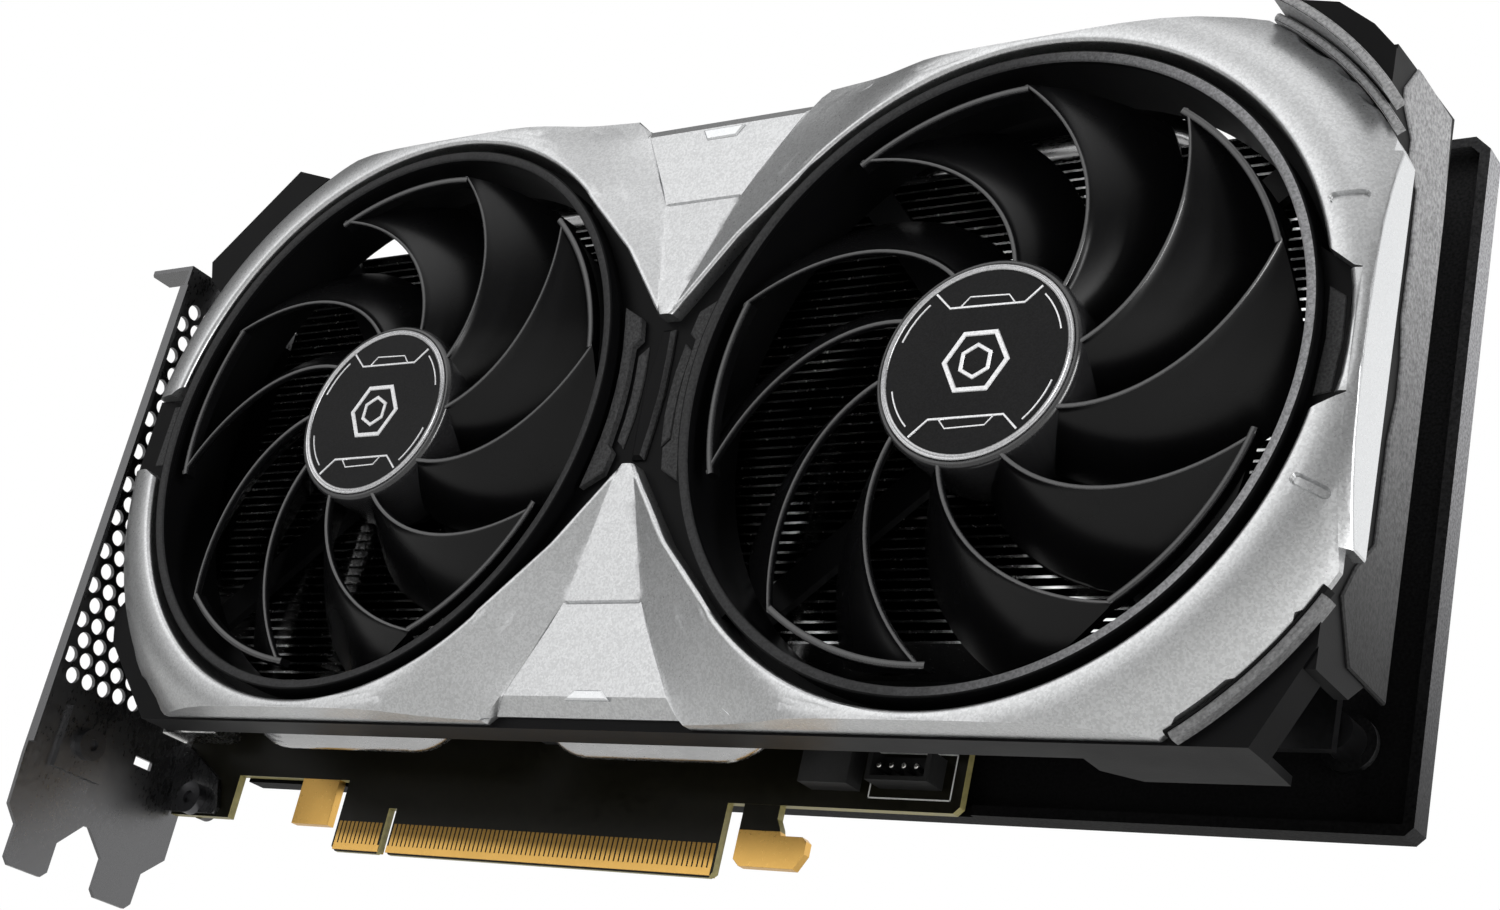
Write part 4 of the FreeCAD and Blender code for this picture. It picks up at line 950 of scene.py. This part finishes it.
def board_details():
    """Plated tab and hook, the gold bevel under the contacts, and the ink and pins of the fan header."""
    gold = Shell()
    for ring in (TAB, HOOK):
        plate(gold, ring, -0.84, BOARD_FACE, 0.05)
    mesh_piece("gold_tabs", gold.points, gold.faces, [GOLD], stands_for=["plated_tabs"])
    plate_piece("hook_neck", HOOK_NECK, -BOARD_FACE, BOARD_FACE, 0.05, MASK)
    bevel = Shell()
    for x0, x1 in CONTACT_SPANS:
        for front in (-CONTACT_FACE, CONTACT_FACE):
            plate(bevel, box_ring(x0, x1, 0.25, 1.5), front, math.copysign(0.7, front), 0.03)
    mesh_piece("contact_bevel", bevel.points, bevel.faces, [GOLD])
    ink = Shell()
    x0, z0 = OUTLINE_LOW
    x1, z1 = OUTLINE_HIGH
    for ring in (box_ring(x0, x1, z0, z0 + INK_WIDTH), box_ring(x0, x1, z1 - INK_WIDTH, z1),
                 box_ring(x0, x0 + INK_WIDTH, z0, z1), box_ring(x1 - INK_WIDTH, x1, z0, z1)):
        plate(ink, ring, -0.83, -0.79, 0.01)
    mesh_piece("header_outline", ink.points, ink.faces, [SILK])
    tips = Shell()
    for k in range(4):
        plate(tips, arc(FIRST_PIN[0] + HEADER_PITCH * k, FIRST_PIN[1], PIN_R, 0, 342, 18), -5.62, -5.3, 0.12)
    mesh_piece("header_pin_tips", tips.points, tips.faces, [PIN], sharp=30.0)


def crease_tabs():
    """Small raised tabs on the creases at both ends of the web."""
    tabs = Shell()
    plate(tabs, [(63.4, 17.2), (72.0, 17.2), (70.3, 18.8), (65.1, 18.8)], -34.5, -33.0, 0.25)
    plate(tabs, [(62.4, 118.3), (63.6, 116.3), (69.6, 116.3), (71.0, 118.3)], -34.6, -33.0, 0.25)
    mesh_piece("crease_tabs", tabs.points, tabs.faces, [TRIM])


board_details()
crease_tabs()

# outline of the grained face on the free end as (y, z)
END_FACE = [(-23.5, 117.0), (-27.3, 111.6), (-27.0, 109.4), (-22.8, 105.9), (-22.8, 103.1), (-18.8, 99.7),
            (-18.4, 90.0), (-18.6, 80.5), (-17.0, 74.0), (-16.8, 68.3), (-18.1, 62.0), (-18.2, 46.4),
            (-23.4, 41.0), (-26.7, 35.7), (-21.8, 27.6), (-8.5, 27.4), (-8.3, 88.2), (-8.5, 102.2),
            (-9.6, 114.0), (-9.9, 117.2)]
END_X = 181.3


def end_face():
    """Thin grained skin on the shroud's free end, grey with painted light that brightens towards the top."""
    skin = Shell()
    plate(skin, END_FACE, END_X + 0.45, END_X - 0.2, 0.25, "x")
    mesh_piece("end_face_skin", skin.points, skin.faces, [EDGE_GREY_PAINTED_LIGHT])


end_face()

RIDGE_BACK = -31.0


def ridge_arc(name, r0, r1, front, a0, a1, material):
    """A raised arc with a chamfered crest, about the axis of the right fan."""
    cx, cz = FANS["right"]
    c = min(0.35, (r1 - r0) / 3)
    profile = [(r0, RIDGE_BACK), (r0, front + c), (r0 + c, front), (r1 - c, front), (r1, front + c),
               (r1, RIDGE_BACK)]
    count = max(6, round(abs(a1 - a0) / 1.5))
    arcs = Shell()
    arcs.loft([turned(cx, cz, profile, a0 + (a1 - a0) * k / count) for k in range(count + 1)])
    mesh_piece(name, arcs.points, arcs.faces, [material], sharp=25.0)


ridge_arc("corner_ridge_inner", 65.1, 66.4, -33.4, 30.5, 56.2, RIDGE_PAINTED_LIGHT)
ridge_arc("corner_ridge_outer", 66.8, 68.3, -36.8, 33.8, 56.2, RIDGE_PAINTED_LIGHT)
ridge_arc("corner_groove_low", 64.4, 65.3, -33.3, -56.0, -31.5, SHROUD_BLACK)
ridge_arc("corner_ridge_low", 65.15, 66.5, -33.6, -55.5, -32.5, LOW_RIDGE_PAINTED_LIGHT)


def skirts():
    """Deeper stretches of the shroud's wall: below the free end's corner and beside the left fan."""
    shell = Shell()
    corner = [(147.8, -25.4), (147.8, -20.0), (152.5, -15.8), (173.5, -16.2), (173.9, -25.4)]
    side = [(-50.9, -25.4), (-49.9, -25.4), (-49.9, -7.6), (-50.9, -7.6)]
    for outline, levels in ((corner, (13.45, 13.7, 14.8)), (side, (42.0, 44.0, 97.0))):
        shell.loft([[(x, y, z) for x, y in outline] for z in levels])
    mesh_piece("shroud_skirts", shell.points, shell.faces, [SHROUD_BLACK])


skirts()

# ---- light, floor and camera -----------------------------------------------------------------------------

CAMERA_AT = (0.29658, -0.29174, -0.07395)
CAMERA_RIGHT = Vector((0.80778, 0.54989, 0.21239))
CAMERA_UP = Vector((0.04551, -0.41740, 0.90758))


def make_camera():
    """Camera below the card's free end, looking up at the fans."""
    data = bpy.data.cameras.new("camera")
    data.sensor_width = 36.0
    data.lens = 56.30
    data.shift_x = 0.0036
    data.shift_y = 0.0080
    data.clip_start = 0.01
    data.clip_end = 20.0
    camera = bpy.data.objects.new("camera", data)
    SCENE.collection.objects.link(camera)
    back = CAMERA_RIGHT.cross(CAMERA_UP)
    turn = Matrix((CAMERA_RIGHT, CAMERA_UP, back)).transposed().to_4x4()
    camera.matrix_world = Matrix.Translation(CAMERA_AT) @ turn
    SCENE.camera = camera


# direction, full and outer angle in degrees, and strength of each patch: backdrop, key, two from above, fill
ROOM_LEVEL = 0.20
LIGHT_PATCHES = [((0.3, 1.0, 0.2), 30.0, 80.0, 0.85), ((-0.54, -0.76, 0.36), 6.0, 32.0, 1.20),
                 ((0.15, -0.30, 0.94), 6.0, 40.0, 0.62), ((-0.20, -0.55, 0.80), 8.0, 40.0, 0.55),
                 ((-0.15, -0.98, -0.10), 8.0, 50.0, 0.22)]
FLOOR_HALF = 14.0
FLOOR_LEVEL = -0.45


def make_world():
    """Soft patches of light behind, in front of and above the card in a dim room; plain white when seen."""
    world = bpy.data.worlds.new("studio")
    SCENE.world = world
    world.use_nodes = True
    tree = world.node_tree
    tree.nodes.clear()
    link = tree.links.new
    where = tree.nodes.new("ShaderNodeTexCoord").outputs["Generated"]

    def lobe(direction, inner, outer, strength):
        """Light from a round patch of sky: full within inner degrees, none beyond outer."""
        dot = tree.nodes.new("ShaderNodeVectorMath")
        dot.operation = "DOT_PRODUCT"
        dot.inputs[1].default_value = Vector(direction).normalized()
        link(where, dot.inputs[0])
        fade = tree.nodes.new("ShaderNodeMapRange")
        fade.interpolation_type = "SMOOTHERSTEP"
        limits = (math.cos(math.radians(outer)), math.cos(math.radians(inner)), 0.0, strength)
        for key, value in zip(("From Min", "From Max", "To Min", "To Max"), limits):
            fade.inputs[key].default_value = value
        link(dot.outputs["Value"], fade.inputs["Value"])
        return fade.outputs["Result"]

    level = None
    for patch in LIGHT_PATCHES:
        total = tree.nodes.new("ShaderNodeMath")
        total.operation = "ADD"
        total.inputs[0].default_value = ROOM_LEVEL
        if level is not None:
            link(level, total.inputs[0])
        link(lobe(*patch), total.inputs[1])
        level = total.outputs["Value"]
    seen = tree.nodes.new("ShaderNodeLightPath").outputs["Is Camera Ray"]
    mix = tree.nodes.new("ShaderNodeMix")
    mix.data_type = "FLOAT"
    link(seen, mix.inputs["Factor"])
    link(level, mix.inputs[2])
    mix.inputs[3].default_value = 1.0
    background = tree.nodes.new("ShaderNodeBackground")
    link(mix.outputs[0], background.inputs["Strength"])
    background.inputs["Color"].default_value = (1.0, 1.0, 1.0, 1.0)
    output = tree.nodes.new("ShaderNodeOutputWorld")
    link(background.outputs["Background"], output.inputs["Surface"])


def area_light(name, at, aim, width, height, power):
    """A soft rectangular lamp that faces a point, places in metres."""
    data = bpy.data.lights.new(name, "AREA")
    data.shape = "RECTANGLE"
    data.size = width
    data.size_y = height
    data.energy = power
    lamp = bpy.data.objects.new(name, data)
    lamp.location = at
    lamp.rotation_euler = (Vector(aim) - Vector(at)).to_track_quat("-Z", "Y").to_euler()
    SCENE.collection.objects.link(lamp)


def make_floor():
    """A plain pale floor well below the card."""
    mesh = bpy.data.meshes.new("floor")
    corners = ((-1, -1), (1, -1), (1, 1), (-1, 1))
    mesh.from_pydata([(x * FLOOR_HALF, y * FLOOR_HALF, FLOOR_LEVEL) for x, y in corners], [], [(0, 1, 2, 3)])
    finish = Finish("floor_pale", (0.88, 0.88, 0.87), 0.75)
    finish.vary(finish.noise(60.0), 0.02).raise_by(finish.noise(3.0), 0.05)
    mesh.materials.append(finish.done())
    floor = bpy.data.objects.new("floor", mesh)
    SCENE.collection.objects.link(floor)


make_camera()
make_world()
make_floor()
area_light("right_strip", (1.42, -0.46, 0.10), (0.07, -0.03, 0.06), 0.18, 1.0, 9.0)
SCENE.view_settings.view_transform = "Standard"
